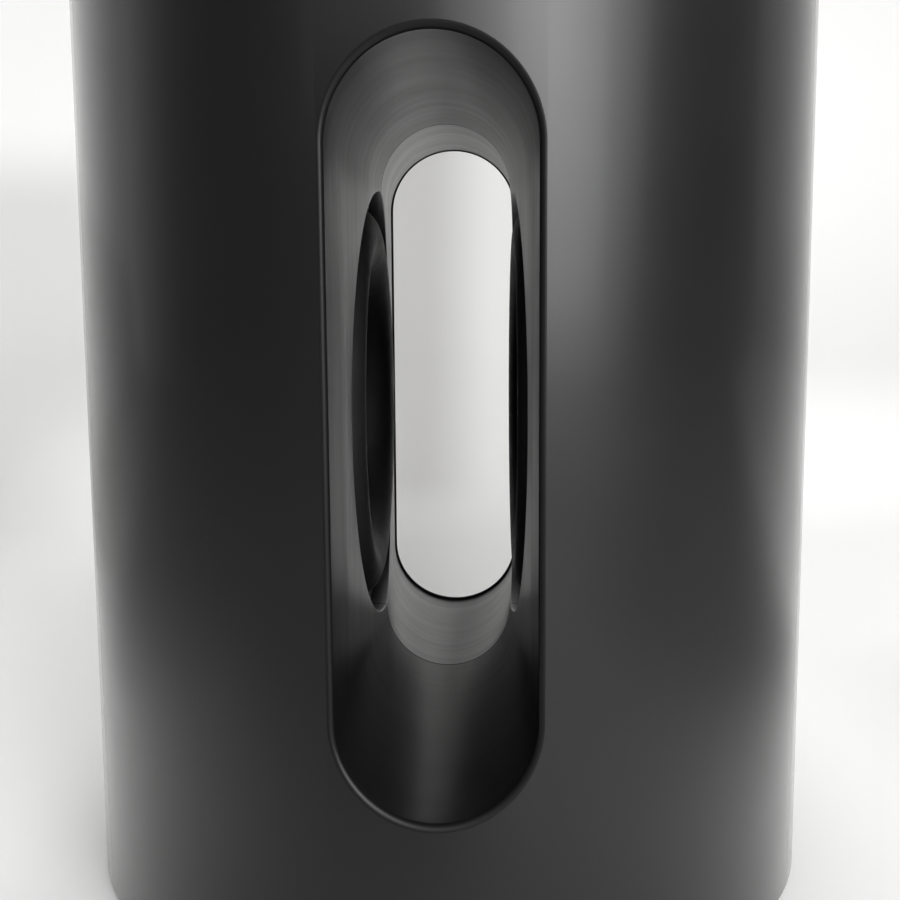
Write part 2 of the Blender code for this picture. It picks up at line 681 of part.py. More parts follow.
def make_board_components():
    seat = BOARD_TOP + GAP
    core = solid_from(box((-62 * MM, 8 * MM, seat), (-30 * MM, 22 * MM, seat + 26 * MM)))
    join(core, box((-56 * MM, 1 * MM, seat + 4 * MM), (-36 * MM, 29 * MM, seat + 22 * MM)))
    add_part("transformer", core, FERRITE, smooth=False)
    for number, x in ((1, -64 * MM), (2, -34 * MM)):
        capacitor = cylinder(8 * MM, seat, seat + 25 * MM, 20)
        capacitor.transform(Matrix.Translation((x, -20 * MM, 0)))
        add_part(f"bulk_capacitor_{number}", capacitor, MOULDED_BLACK)
    comb = comb_outline(40 * MM, 70 * MM, seat, seat + 5 * MM, seat + 25 * MM, 7)
    add_part("heat_sink", extruded(comb, -16 * MM, 34 * MM, "Y"), ALUMINIUM, smooth=False)
    can = box((8 * MM, -26 * MM, seat), (30 * MM, 2 * MM, seat + 3.5 * MM))
    add_part("wireless_module", can, NICKEL, smooth=False)


def make_io_panel():
    """A tray behind the shell's rear opening, its open side trimmed to the shell's bore."""
    wall = RECESS_WALL
    half = RECESS_HALF_WIDTH + 0.4 * MM
    low = RECESS_BOTTOM - 0.4 * MM
    high = RECESS_TOP + 0.4 * MM
    solid = solid_from(box((-half - wall, PANEL_FACE - wall, low - 2.0 * MM),
                           (half + wall, BODY_RADIUS, high + 2.0 * MM)))
    trim(solid, cylinder(BORE_RADIUS - GAP, 0, BODY_HEIGHT / 2, BODY_SEGMENTS))
    cut(solid, box((-half, PANEL_FACE, low), (half, BODY_RADIUS * 1.1, high)))
    holes = ((INLET_X - 10.4 * MM, INLET_X + 10.4 * MM, 13.6 * MM, 28.4 * MM),
             (JACK_X - 8.4 * MM, JACK_X + 8.4 * MM, 13.6 * MM, 27.8 * MM))
    for low_x, high_x, low_z, high_z in holes:
        cut(solid, box((low_x, PANEL_FACE - 0.01, low_z), (high_x, PANEL_FACE + 0.01, high_z)))
    add_part("io_panel", solid, MOULDED_BLACK, smooth=False)


def make_ac_inlet():
    face = PANEL_FACE + 1.5 * MM
    seat = BOARD_TOP + GAP
    solid = solid_from(box((INLET_X - 10 * MM, 64 * MM, seat), (INLET_X + 10 * MM, face, 28.1 * MM)))
    cavity = rounded_rectangle((INLET_X - 8.6 * MM, INLET_Z - 4.4 * MM),
                               (INLET_X + 8.6 * MM, INLET_Z + 4.4 * MM), 4.3 * MM)
    cut(solid, extruded(cavity, face - 13 * MM, face + 1 * MM, "Y"))
    pins = [facing((INLET_X + side * PIN_HALF_SPACING, 66 * MM, INLET_Z), (0, 1, 0)) for side in (-1, 1)]
    cut(solid, copies(lambda: cylinder(1.5 * MM, 0, 15 * MM, 12), pins))
    add_part("ac_inlet", solid, MOULDED_BLACK, smooth=False)
    for name, place in zip(("inlet_pin_left", "inlet_pin_right"), pins):
        pin = cylinder(1.2 * MM, GAP, 19 * MM, 12)
        pin.transform(place)
        add_part(name, pin, NICKEL)


def make_ethernet_jack():
    face = PANEL_FACE + 1.5 * MM
    seat = BOARD_TOP + GAP
    low_x = JACK_X - 8 * MM
    solid = solid_from(box((low_x, 66 * MM, seat), (low_x + 16 * MM, face, 27.4 * MM)))
    cut(solid, box((JACK_X - 6 * MM, face - 15 * MM, 16.5 * MM), (JACK_X + 6 * MM, face + 0.01, 23.5 * MM)))
    cut(solid, box((JACK_X - 3 * MM, face - 15 * MM, 23 * MM), (JACK_X + 3 * MM, face + 0.01, 25.4 * MM)))
    add_part("ethernet_jack", solid, NICKEL, smooth=False)


def make_join_button():
    """The button's origin is on its slide axis; its collar keeps it from leaving the shell."""
    collar_back = 108.4 * MM
    collar_face = 110.9 * MM
    front = BODY_RADIUS - 0.2 * MM
    edge = 0.6 * MM
    profile = [(0.0, collar_back), (5.6 * MM, collar_back), (5.6 * MM, collar_face),
               (BUTTON_RADIUS, collar_face), (BUTTON_RADIUS, front - edge),
               (BUTTON_RADIUS - edge, front), (0.0, front)]
    button = add_part("join_button", turned(profile, 20), MOULDED_BLACK)
    button.location = (0, 0, BUTTON_Z)
    button.rotation_euler = (-math.pi / 2, 0, 0)


def make_button_board():
    board_face = 102.2 * MM
    board = box((-16 * MM, board_face - 1.6 * MM, 34.4 * MM), (16 * MM, board_face, 46.5 * MM))
    add_part("button_board", board, CIRCUIT_GREEN, smooth=False)
    switch = solid_from(box((-3 * MM, board_face + GAP, BUTTON_Z - 3 * MM),
                            (3 * MM, board_face + 3.6 * MM, BUTTON_Z + 3 * MM)))
    plunger = facing((0, board_face + 3 * MM, BUTTON_Z), (0, 1, 0))
    join(switch, copies(lambda: cylinder(1.7 * MM, 0, 2.0 * MM, 12), [plunger]))
    add_part("button_switch", switch, MOULDED_BLACK, smooth=False)
    surface = math.sqrt(BODY_RADIUS ** 2 - LENS_X ** 2)
    lens = facing((LENS_X, 0, BUTTON_Z), (0, 1, 0))
    light_pipe = cylinder(LENS_RADIUS, board_face + GAP, surface, 12)
    light_pipe.transform(lens)
    add_part("status_lens", light_pipe, CLEAR_LENS)


def make_damping_foam():
    add_part("damping_foam", cylinder(98 * MM, 260 * MM, 290 * MM, HIDDEN_SEGMENTS), FOAM_GREY)


def main():
    clear_scene()
    make_outer_shell()
    make_top_cap()
    make_base()
    make_tunnel_half("tunnel_front", -1)
    make_tunnel_half("tunnel_rear", 1)
    make_tunnel_seals()
    make_driver("left", -1)
    make_driver("right", 1)
    make_cables()
    make_boards()
    make_board_components()
    make_io_panel()
    make_ac_inlet()
    make_ethernet_jack()
    make_join_button()
    make_button_board()
    make_damping_foam()


main()
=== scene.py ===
import json
import math

import bmesh
import bpy
from mathutils import Matrix, Vector


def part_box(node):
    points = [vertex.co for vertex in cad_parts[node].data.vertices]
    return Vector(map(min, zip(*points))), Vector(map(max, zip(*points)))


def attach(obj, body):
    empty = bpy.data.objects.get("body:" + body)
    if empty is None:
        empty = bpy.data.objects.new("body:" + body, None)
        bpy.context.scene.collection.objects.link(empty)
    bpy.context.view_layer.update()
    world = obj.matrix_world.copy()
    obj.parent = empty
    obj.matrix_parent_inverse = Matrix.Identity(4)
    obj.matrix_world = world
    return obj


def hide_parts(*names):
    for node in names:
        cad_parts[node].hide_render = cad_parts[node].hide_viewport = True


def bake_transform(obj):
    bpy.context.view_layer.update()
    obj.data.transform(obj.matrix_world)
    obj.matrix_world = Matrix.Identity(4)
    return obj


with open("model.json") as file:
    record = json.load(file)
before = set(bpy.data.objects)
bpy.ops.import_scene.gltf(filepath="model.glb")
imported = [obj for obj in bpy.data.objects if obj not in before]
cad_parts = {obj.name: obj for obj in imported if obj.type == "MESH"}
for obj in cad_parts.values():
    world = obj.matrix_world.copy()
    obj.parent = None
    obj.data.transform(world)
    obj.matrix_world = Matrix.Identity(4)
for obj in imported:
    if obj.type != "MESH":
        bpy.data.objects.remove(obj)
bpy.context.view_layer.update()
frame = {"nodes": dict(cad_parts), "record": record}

MM = 0.001
BODY = "enclosure"

# Sizes read from the frame
SHELL_LOW, SHELL_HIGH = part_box("outer_shell")
BODY_RADIUS = SHELL_HIGH.x
BODY_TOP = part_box("top_cap")[1].z
SLEEVE_LOW, SLEEVE_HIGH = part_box("tunnel_front")
SLEEVE_HALF_WIDTH = SLEEVE_HIGH.x
SLOT_CENTRE_Z = (SLEEVE_LOW.z + SLEEVE_HIGH.z) / 2
SURROUND_LOW, SURROUND_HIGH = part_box("right_surround")
CONE_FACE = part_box("right_cone")[0].x
PLATE_LOW, PLATE_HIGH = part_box("right_baffle_plate")
BASKET_LOW, BASKET_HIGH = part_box("right_basket")
BASKET_FLANGE_BACK = BASKET_LOW.x + 2.4 * MM
SPIDER_LOW, SPIDER_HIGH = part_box("right_spider")
BASE_LOW, BASE_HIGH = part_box("base_plate")
FOOT_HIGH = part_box("foot_ring")[1]
PANEL_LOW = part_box("io_panel")[0]
INLET_LOW, INLET_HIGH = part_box("ac_inlet")
JACK_LOW, JACK_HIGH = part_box("ethernet_jack")
BUTTON_LOW, BUTTON_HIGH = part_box("join_button")
BUTTON_CENTRE_Z = (BUTTON_LOW.z + BUTTON_HIGH.z) / 2
LENS_LOW, LENS_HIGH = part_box("status_lens")

# Shell and tunnel
WALL = 3.0 * MM
SEAM = 0.3 * MM
HAIRLINE = 0.02 * MM
CREASE = 0.15 * MM
MOUTH_HALF_WIDTH = 25.4 * MM
MOUTH_HALF_HEIGHT = 95.6 * MM
WAIST_HALF_WIDTH = 21.0 * MM
WAIST_HALF_HEIGHT = 90.5 * MM
LIP_RADIUS = SLEEVE_HALF_WIDTH - MOUTH_HALF_WIDTH
LIP_EXTRA = 0.3 * MM
SLEEVE_HALF_HEIGHT = MOUTH_HALF_HEIGHT + LIP_RADIUS + LIP_EXTRA
LIP_DEPTH = LIP_RADIUS + 0.7 * MM
UNDERCUT = 0.8 * MM
UNDERCUT_DROP = 0.35 * MM
WINDOW_RADIUS = 69.0 * MM
RIB_HALF_WIDTH = 27.0 * MM
RIB_TOP = 106.0 * MM
WAIST_RIB = 8.0 * MM
PLATE_RIB = 12.0 * MM
PLATE_RIB_Y = 60.0 * MM
PLATE_SCREW_Z = 101.5 * MM
WAIST_SCREW_X = 16.0 * MM
WAIST_SCREW_Z = 98.5 * MM
ARC_STEPS = 56
LIP_STEPS = 8
ROUND_STEPS = 288
DRIVER_STEPS = 160
RECESS_HALF_WIDTH = 30.0 * MM
RECESS_BOTTOM = 10.0 * MM
RECESS_TOP = 31.0 * MM
LENS_RADIUS = 1.2 * MM

# Drivers and screws
CONE_RIM = 46.0 * MM
CONE_MOUTH = 42.0 * MM
CONE_NECK = 19.6 * MM
CONE_DEPTH = 18.4 * MM
BOLT_RING = 73.0 * MM
SCREW_HEAD = 0.55
SCREW_SMOOTH = 40

# Camera, light and backdrop
CAMERA_LENS = 47.44
CAMERA_PLACE = (0.01175, -0.39512, 0.18108)
CAMERA_TURN = 1.574
CAMERA_DOWN = 7.235
CAMERA_ROLL = -0.359
BACKWARD = (0, 1, 0)
WHITE = (1.0, 1.0, 1.0, 1.0)
WALL_Y = 0.80
WINDOW_CORE = 1.7
WINDOW_GLOW = 2.6
WINDOW_SPILL = 0.45
ROOM_FRONT = 0.14
ROOM_BACK = 1.25
# Emission strengths of the glow painted into the backdrop: painted light, not lamps
WALL_GLOW = 0.20
FLOOR_GLOW = 0.32
SIDE_GLOW = 0.16
PAINTED_SUN_ON_FLOOR = 0.13


# ---------------------------------------------------------------- meshes

def new_object(name, shape, smooth_angle=32):
    bmesh.ops.recalc_face_normals(shape, faces=shape.faces)
    if shape.calc_volume(signed=True) < 0:
        bmesh.ops.reverse_faces(shape, faces=shape.faces)
    mesh = bpy.data.meshes.new(name)
    shape.to_mesh(mesh)
    shape.free()
    piece = bpy.data.objects.new(name, mesh)
    bpy.context.scene.collection.objects.link(piece)
    soften(piece, smooth_angle)
    return piece


def soften(piece, smooth_angle=32):
    piece.data.shade_smooth()
    piece.data.set_sharp_from_angle(angle=math.radians(smooth_angle))


def close_tube(shape, near, far):
    for i in range(len(near)):
        shape.faces.new((near[i - 1], near[i], far[i], far[i - 1]))


def turned(profile, steps):
    """A solid of revolution about Z from a closed outline of (radius, height) points."""
    shape = bmesh.new()
    corners = [shape.verts.new((radius, 0.0, height)) for radius, height in profile]
    edges = []
    for start, end in zip(corners, corners[1:] + corners[:1]):
        if start.co.x > 1e-7 or end.co.x > 1e-7:
            edges.append(shape.edges.new((start, end)))
    bmesh.ops.spin(shape, geom=corners + edges, cent=(0, 0, 0), axis=(0, 0, 1),
                   angle=math.tau, steps=steps, use_merge=True)
    bmesh.ops.remove_doubles(shape, verts=shape.verts, dist=1e-7)
    return shape


def rounded(profile, radius, steps=4):
    """The closed outline with each corner replaced by a small arc; radius may be one number per corner."""
    count = len(profile)
    radii = radius if isinstance(radius, (list, tuple)) else [radius] * count
    outline = []
    for i, point in enumerate(profile):
        corner = Vector(point)
        back = Vector(profile[i - 1]) - corner
        ahead = Vector(profile[(i + 1) % count]) - corner
        turn = back.angle(ahead)
        if radii[i] <= 0 or turn > math.radians(176):
            outline.append(tuple(corner))
            continue
        reach = min(radii[i] / math.tan(turn / 2), back.length * 0.49, ahead.length * 0.49)
        start = corner + back.normalized() * reach
        end = corner + ahead.normalized() * reach
        for step in range(steps + 1):
            t = step / steps
            blend = (1 - t) ** 2 * start + 2 * t * (1 - t) * corner + t ** 2 * end
            outline.append(tuple(blend))
    return outline


def extruded(outline, low, high, axis):
    """A prism along axis. The outline holds the other two coordinates, in X, Y, Z order."""
    def corner(point, depth):
        place = list(point)
        place.insert("XYZ".index(axis), depth)
        return place

    shape = bmesh.new()
    near = [shape.verts.new(corner(point, low)) for point in outline]
    far = [shape.verts.new(corner(point, high)) for point in outline]
    close_tube(shape, near, far)
    shape.faces.new(near)
    shape.faces.new(far)
    return shape


def rectangle(low, high):
    return [(low[0], low[1]), (high[0], low[1]), (high[0], high[1]), (low[0], high[1])]


def box(low, high):
    return extruded(rectangle(low, high), low[2], high[2], "Z")


def corner_pair(x, half_width, near, far, low, high):
    """The two corners of a box that is centred on x."""
    return (x - half_width, near, low), (x + half_width, far, high)


def disc(radius, low, high, steps, at=(0, 0)):
    """A solid cylinder along Z."""
    shape = turned([(0.0, low), (radius, low), (radius, high), (0.0, high)], steps)
    return moved(shape, Matrix.Translation((*at, 0)))


def around(radius, first_angle, count=6):
    """Points evenly spaced on a circle."""
    angles = [math.radians(first_angle + 360 / count * step) for step in range(count)]
    return [(radius * math.cos(angle), radius * math.sin(angle)) for angle in angles]


def in_mm(*values):
    return [value * MM for value in values]


def combine(piece, shape, operation, smooth_angle=32):
    """Join, cut or trim a piece with a shape that is used up."""
    tool = new_object("tool", shape)
    modifier = piece.modifiers.new(operation, "BOOLEAN")
    modifier.operation = operation
    modifier.object = tool
    graph = bpy.context.evaluated_depsgraph_get()
    result = bpy.data.meshes.new_from_object(piece.evaluated_get(graph))
    piece.modifiers.clear()
    piece.data = result
    bpy.data.objects.remove(tool)
    soften(piece, smooth_angle)
    return piece


def cut(piece, shape, smooth_angle=32):
    return combine(piece, shape, "DIFFERENCE", smooth_angle)


def bevelled(piece, width, segments=3, angle=40):
    """Round a piece's crisp edges."""
    modifier = piece.modifiers.new("edge_round", "BEVEL")
    modifier.width = width
    modifier.segments = segments
    modifier.limit_method = "ANGLE"
    modifier.angle_limit = math.radians(angle)
    modifier.use_clamp_overlap = True
    modifier.harden_normals = True
    return piece


def merge(shape, other):
    """Add another closed shape to this one as a separate shell."""
    mesh = bpy.data.meshes.new("shell")
    other.to_mesh(mesh)
    other.free()
    shape.from_mesh(mesh)
    bpy.data.meshes.remove(mesh)
    return shape


def six_lobes(radius, depth):
    """The star-shaped pit of a screw's drive, from above the head down to its depth."""
    steps = 48
    outline = []
    for step in range(steps):
        angle = math.tau * step / steps
        reach = radius * (1 + 0.16 * math.cos(6 * angle))
        outline.append((reach * math.cos(angle), reach * math.sin(angle)))
    return extruded(outline, -depth, 1.0 * MM, "Z")


def screw(name, head_radius, length):
    """A pan-head screw. Its head's top is at the origin and it points down."""
    head = SCREW_HEAD * head_radius
    shank = 0.5 * head_radius
    profile = [(0.0, 0.0), (head_radius * 0.82, 0.0), (head_radius, -head * 0.45),
               (head_radius, -head), (shank * 0.86, -head)]
    pitch = 0.9 * MM
    for turn in range(int((length - 2 * pitch) / pitch)):
        height = -head - pitch * (turn + 0.5)
        profile += [(shank, height), (shank * 0.8, height - pitch / 2)]
    profile += [(shank * 0.3, -head - length), (0.0, -head - length)]
    piece = new_object(name, turned(rounded(profile, 0.08 * MM, 2), 28), SCREW_SMOOTH)
    return cut(piece, six_lobes(head_radius * 0.46, head * 0.6), SCREW_SMOOTH)


def make_screws(name, places, head_radius, length):
    """One piece that holds a group of screws, each with its underside of the head at its place."""
    pattern = screw(name + "_pattern", head_radius, length)
    group = bmesh.new()
    for point, direction in places:
        count = len(group.verts)
        group.from_mesh(pattern.data)
        group.verts.ensure_lookup_table()
        away = Vector(direction)
        place = facing(Vector(point) + away * (SCREW_HEAD * head_radius + HAIRLINE), away)
        bmesh.ops.transform(group, matrix=place, verts=group.verts[count:])
    bpy.data.objects.remove(pattern)
    return fit_out(new_object(name, group, SCREW_SMOOTH), "zinc_steel")


def facing(point, direction):
    turn = Vector((0, 0, 1)).rotation_difference(Vector(direction)).to_matrix().to_4x4()
    return Matrix.Translation(point) @ turn


def moved(shape, place):
    shape.transform(place)
    return shape


def fit_out(piece, slot, *nodes, body=BODY, material=None):
    """Dress a piece, fix it to its CAD body and let it stand for its CAD nodes."""
    piece.data.materials.clear()
    piece.data.materials.append(MATERIALS[material or slot])
    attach(piece, body)
    if nodes:
        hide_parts(*nodes)
    return piece


def make_piece(name, shape, slot, *nodes, edge=None, body=BODY):
    """A shape made into a piece and fitted out. edge holds the width and segments of its rounding."""
    piece = new_object(name, shape)
    if edge:
        bevelled(piece, *edge)
    return fit_out(piece, slot, *nodes, body=body)


# ---------------------------------------------------------------- materials

class Nodes:
    """A short hand for building a material's node tree."""

    def __init__(self, name):
        self.material = bpy.data.materials.new(name)
        self.material.use_nodes = True
        self.tree = self.material.node_tree
        self.shader = self.tree.nodes["Principled BSDF"]
        self.place = self.add("ShaderNodeTexCoord").outputs["Object"]

    def add(self, kind, **settings):
        node = self.tree.nodes.new(kind)
        for key, value in settings.items():
            setattr(node, key, value)
        return node

    def link(self, source, target):
        self.tree.links.new(source, target)

    def noise(self, scale, detail=3.0, roughness=0.5, place=None):
        node = self.add("ShaderNodeTexNoise")
        node.inputs["Scale"].default_value = scale
        node.inputs["Detail"].default_value = detail
        node.inputs["Roughness"].default_value = roughness
        self.link(place or self.place, node.inputs["Vector"])
        return node.outputs["Fac"]

    def spread(self, source, low, high, from_low=0.3, from_high=0.7):
        """The source's values carried over to another range."""
        node = self.add("ShaderNodeMapRange")
        for key, value in zip(("From Min", "From Max", "To Min", "To Max"),
                              (from_low, from_high, low, high)):
            node.inputs[key].default_value = value
        self.link(source, node.inputs["Value"])
        return node.outputs["Result"]

    def ease(self, source, from_low, from_high, low, high):
        """A smooth step from low to high as the source passes from one value to the other."""
        result = self.spread(source, low, high, from_low, from_high)
        result.node.interpolation_type = "SMOOTHSTEP"
        return result

    def calc(self, operation, first, second):
        node = self.add("ShaderNodeMath", operation=operation)
        for socket, value in zip(node.inputs, (first, second)):
            if isinstance(value, (int, float)):
                socket.default_value = value
            else:
                self.link(value, socket)
        return node.outputs[0]

    def chain(self, operation, values):
        result = values[0]
        for value in values[1:]:
            result = self.calc(operation, result, value)
        return result

    def total(self, *values):
        return self.chain("ADD", values)

    def zone(self, *steps):
        """The product of smooth steps, each given as ease takes it."""
        return self.chain("MULTIPLY", [self.ease(*step) for step in steps])

    def mix(self, factor, first, second):
        node = self.add("ShaderNodeMix", data_type="RGBA")
        for key, value in (("A", first), ("B", second)):
            socket = [s for s in node.inputs if s.name == key and s.type == "RGBA"][0]
            if isinstance(value, tuple):
                socket.default_value = (*value, 1.0)
            else:
                self.link(value, socket)
        self.link(factor, node.inputs[0])
        return [s for s in node.outputs if s.type == "RGBA"][0]

    def scaled_place(self, x, y, z):
        node = self.add("ShaderNodeMapping")
        node.inputs["Scale"].default_value = (x, y, z)
        self.link(self.place, node.inputs["Vector"])
        return node.outputs["Vector"]

    def bump(self, height, distance, strength=1.0, below=None):
        node = self.add("ShaderNodeBump")
        node.inputs["Strength"].default_value = strength
        node.inputs["Distance"].default_value = distance
        self.link(height, node.inputs["Height"])
        if below:
            self.link(below, node.inputs["Normal"])
        return node.outputs["Normal"]

    def finish(self, colour, roughness, normal=None, **plain):
        for key, value in (("Base Color", colour), ("Roughness", roughness), ("Normal", normal)):
            if value is not None:
                self.link(value, self.shader.inputs[key])
        for key, value in plain.items():
            self.shader.inputs[key.replace("_", " ")].default_value = value
        return self.material

    def edge_wear(self, radius, strength):
        """Near 1 along outer edges, from the gap between the rounded and the true normal."""
        rounding = self.add("ShaderNodeBevel", samples=4)
        rounding.inputs["Radius"].default_value = radius
        geometry = self.add("ShaderNodeNewGeometry")
        dot = self.add("ShaderNodeVectorMath", operation="DOT_PRODUCT")
        self.link(rounding.outputs["Normal"], dot.inputs[0])
        self.link(geometry.outputs["Normal"], dot.inputs[1])
        return self.spread(dot.outputs["Value"], strength, 0.0, 0.75, 0.99)


def satin_shell(name):
    """Fine matt polycarbonate: an almost even black with a very fine grain and faint handling marks."""
    base = (0.006, 0.006, 0.0064)
    n = Nodes(name)
    colour = n.mix(n.spread(n.noise(14.0, 2.0), 0.0, 1.0), base, tuple(c * 1.25 for c in base))
    rough = n.spread(n.noise(38.0, 4.0), 0.32, 0.36)
    normal = n.bump(n.noise(2600.0, 2.0, 0.6), 0.010 * MM, 0.5)
    return n.finish(colour, rough, normal, IOR=1.45, Coat_Weight=1.0, Coat_IOR=1.2, Coat_Roughness=0.12)


def sleeve_satin(name):
    """The tunnel's satin: duller than the shell's, with faint polishing streaks that run round it."""
    base = (0.006, 0.006, 0.0063)
    n = Nodes(name)
    streaks = n.noise(1.0, 4.0, 0.6, n.scaled_place(14.0, 240.0, 14.0))
    clouds = n.noise(1.0, 3.0, 0.5, n.scaled_place(26.0, 60.0, 20.0))
    grain = n.noise(2200.0, 2.0, 0.6)
    colour = n.mix(n.spread(clouds, 0.0, 1.0), base, tuple(c * 1.3 for c in base))
    rough = n.calc("ADD", n.spread(streaks, 0.31, 0.36), n.spread(clouds, -0.025, 0.025))
    normal = n.bump(grain, 0.010 * MM, 0.5, n.bump(streaks, 0.006 * MM, 0.5))
    return n.finish(colour, rough, normal, IOR=1.34)


def moulded_plastic(name):
    """Coarser spark-eroded texture of hidden and underside mouldings, a little paler at worn edges."""
    n = Nodes(name)
    grain = n.noise(1100.0, 3.0, 0.6)
    wear = n.calc("ADD", n.spread(n.noise(60.0), 0.0, 0.5), n.edge_wear(0.5 * MM, 0.25))
    colour = n.mix(wear, (0.014, 0.014, 0.014), (0.0236, 0.0236, 0.0236))
    return n.finish(colour, n.spread(n.noise(90.0, 3.0), 0.5, 0.62), n.bump(grain, 0.03 * MM, 0.6))


def rubber(name):
    """Moulded rubber with a fine, dull skin."""
    n = Nodes(name)
    colour = n.mix(n.spread(n.noise(45.0), 0.0, 1.0), (0.010, 0.010, 0.010), (0.016, 0.016, 0.016))
    rough = n.spread(n.noise(160.0, 3.0), 0.55, 0.68)
    return n.finish(colour, rough, n.bump(n.noise(900.0, 4.0, 0.6), 0.02 * MM, 0.5), Specular_IOR_Level=0.4)


def pressed_pulp(name):
    """Black paper pulp with matted fibres."""
    n = Nodes(name)
    fibre = n.noise(420.0, 6.0, 0.7)
    clumps = n.noise(120.0, 4.0)
    colour = n.mix(n.spread(clumps, 0.0, 1.0), (0.006, 0.006, 0.006), (0.013, 0.013, 0.013))
    rough = n.spread(fibre, 0.62, 0.85)
    normal = n.bump(fibre, 0.08 * MM, 0.6, n.bump(clumps, 0.1 * MM, 0.3))
    return n.finish(colour, rough, normal, Specular_IOR_Level=0.35)


def metal(name, base, roughness, grain_scale=700.0, stretch=(1, 1, 1)):
    """Plated or machined metal with fine streaks and dulled patches."""
    n = Nodes(name)
    streaks = n.noise(grain_scale, 3.0, 0.6, n.scaled_place(*stretch))
    patches = n.noise(70.0, 3.0)
    colour = n.mix(n.spread(patches, 0.0, 1.0), base, tuple(c * 0.8 for c in base))
    rough = n.spread(n.calc("MULTIPLY", streaks, n.spread(patches, 0.8, 1.2)), *roughness)
    return n.finish(colour, rough, n.bump(streaks, 0.01 * MM, 0.5), Metallic=1.0)


def dull(name, base, other, scale, bump_mm=0.05, roughness=(0.6, 0.85)):
    """Matt, slightly uneven matter: ferrite, foam, cloth, paper or circuit board."""
    n = Nodes(name)
    pattern = n.noise(scale, 5.0, 0.65)
    colour = n.mix(n.spread(pattern, 0.0, 1.0), base, other)
    rough = n.spread(n.noise(scale * 0.3, 3.0), *roughness)
    return n.finish(colour, rough, n.bump(pattern, bump_mm * MM, 0.6))


FINISHES = {
    "satin_black": (satin_shell,),
    "satin_tunnel": (sleeve_satin,),
    "moulded_black": (moulded_plastic,),
    "rubber_black": (rubber,),
    "cone_black": (pressed_pulp,),
    "painted_steel": (dull, (0.020, 0.020, 0.022), (0.030, 0.030, 0.032), 300.0, 0.02, (0.35, 0.5)),
    "zinc_steel": (metal, (0.56, 0.55, 0.53), (0.25, 0.45)),
    "ferrite": (dull, (0.035, 0.035, 0.038), (0.060, 0.058, 0.058), 500.0),
    "copper": (metal, (0.72, 0.30, 0.14), (0.3, 0.45), 2500.0, (0.2, 1, 1)),
    "paper_tan": (dull, (0.42, 0.27, 0.13), (0.34, 0.20, 0.09), 400.0),
    "cloth_tan": (dull, (0.40, 0.25, 0.11), (0.25, 0.15, 0.06), 900.0, 0.15),
    "circuit_green": (dull, (0.010, 0.085, 0.035), (0.020, 0.13, 0.055), 250.0, 0.02, (0.35, 0.5)),
    "aluminium": (metal, (0.70, 0.71, 0.72), (0.3, 0.5), 500.0, (1, 0.05, 1)),
    "foam_grey": (dull, (0.05, 0.05, 0.055), (0.11, 0.11, 0.115), 350.0, 0.4, (0.9, 1.0)),
    "clear_lens": (dull, (0.70, 0.71, 0.70), (0.78, 0.79, 0.78), 200.0, 0.01, (0.12, 0.2)),
    "nickel": (metal, (0.62, 0.59, 0.54), (0.2, 0.35)),
}
MATERIALS = {name: make(name, *values) for name, (make, *values) in FINISHES.items()}


# ---------------------------------------------------------------- camera, lights and stage

def make_camera():
    """From the front, a little right of the middle, looking slightly down."""
    data = bpy.data.cameras.new("camera")
    data.lens = CAMERA_LENS
    data.sensor_width = 36.0
    camera = bpy.data.objects.new("camera", data)
    bpy.context.scene.collection.objects.link(camera)
    place = Matrix.Translation(CAMERA_PLACE)
    for angle, axis in ((CAMERA_TURN, "Z"), (90 - CAMERA_DOWN, "X"), (CAMERA_ROLL, "Z")):
        place = place @ Matrix.Rotation(math.radians(angle), 4, axis)
    camera.matrix_world = place
    bpy.context.scene.camera = camera


def area_light(name, azimuth, elevation, distance, width, height, strength, spread):
    """A soft box that looks at the object's middle. Azimuth 0 is in front, 90 is to the right."""
    data = bpy.data.lights.new(name, "AREA")
    data.shape = "RECTANGLE"
    data.size = width
    data.size_y = height
    data.energy = strength * width * height
    data.spread = math.radians(spread)
    light = bpy.data.objects.new(name, data)
    bpy.context.scene.collection.objects.link(light)
    a = math.radians(azimuth)
    e = math.radians(elevation)
    away = Vector((math.sin(a) * math.cos(e), -math.cos(a) * math.cos(e), math.sin(e)))
    light.location = Vector((0, 0, BODY_TOP * 0.7)) + away * distance
    light.rotation_mode = "QUATERNION"
    light.rotation_quaternion = (-away).to_track_quat("-Z", "Y")


def make_lights():
    """One tall window, right of the camera and high, in a dim room with bright walls behind."""
    area_light("window_core", 33, 23, 1.7, 0.8, 1.5, WINDOW_CORE, 70)
    area_light("window_glow", 30, 22, 1.72, 1.9, 1.7, WINDOW_GLOW, 70)
    area_light("window_spill", -15, 32, 1.7, 1.4, 1.2, WINDOW_SPILL, 80)
    world = bpy.data.worlds.new("room")
    world.use_nodes = True
    tree = world.node_tree
    background = tree.nodes["Background"]
    direction = tree.nodes.new("ShaderNodeTexCoord").outputs["Generated"]
    backward = tree.nodes.new("ShaderNodeVectorMath")
    backward.operation = "DOT_PRODUCT"
    backward.inputs[1].default_value = (-0.15, 1.0, 0.0)
    tree.links.new(direction, backward.inputs[0])
    ramp = tree.nodes.new("ShaderNodeMapRange")
    ramp.interpolation_type = "SMOOTHSTEP"
    ranges = {"From Min": -0.05, "From Max": 0.8, "To Min": ROOM_FRONT, "To Max": ROOM_BACK}
    for key, value in ranges.items():
        ramp.inputs[key].default_value = value
    tree.links.new(backward.outputs["Value"], ramp.inputs["Value"])
    tree.links.new(ramp.outputs["Result"], background.inputs["Strength"])
    background.inputs["Color"].default_value = WHITE
    bpy.context.scene.world = world
    bpy.context.scene.view_settings.view_transform = "Standard"


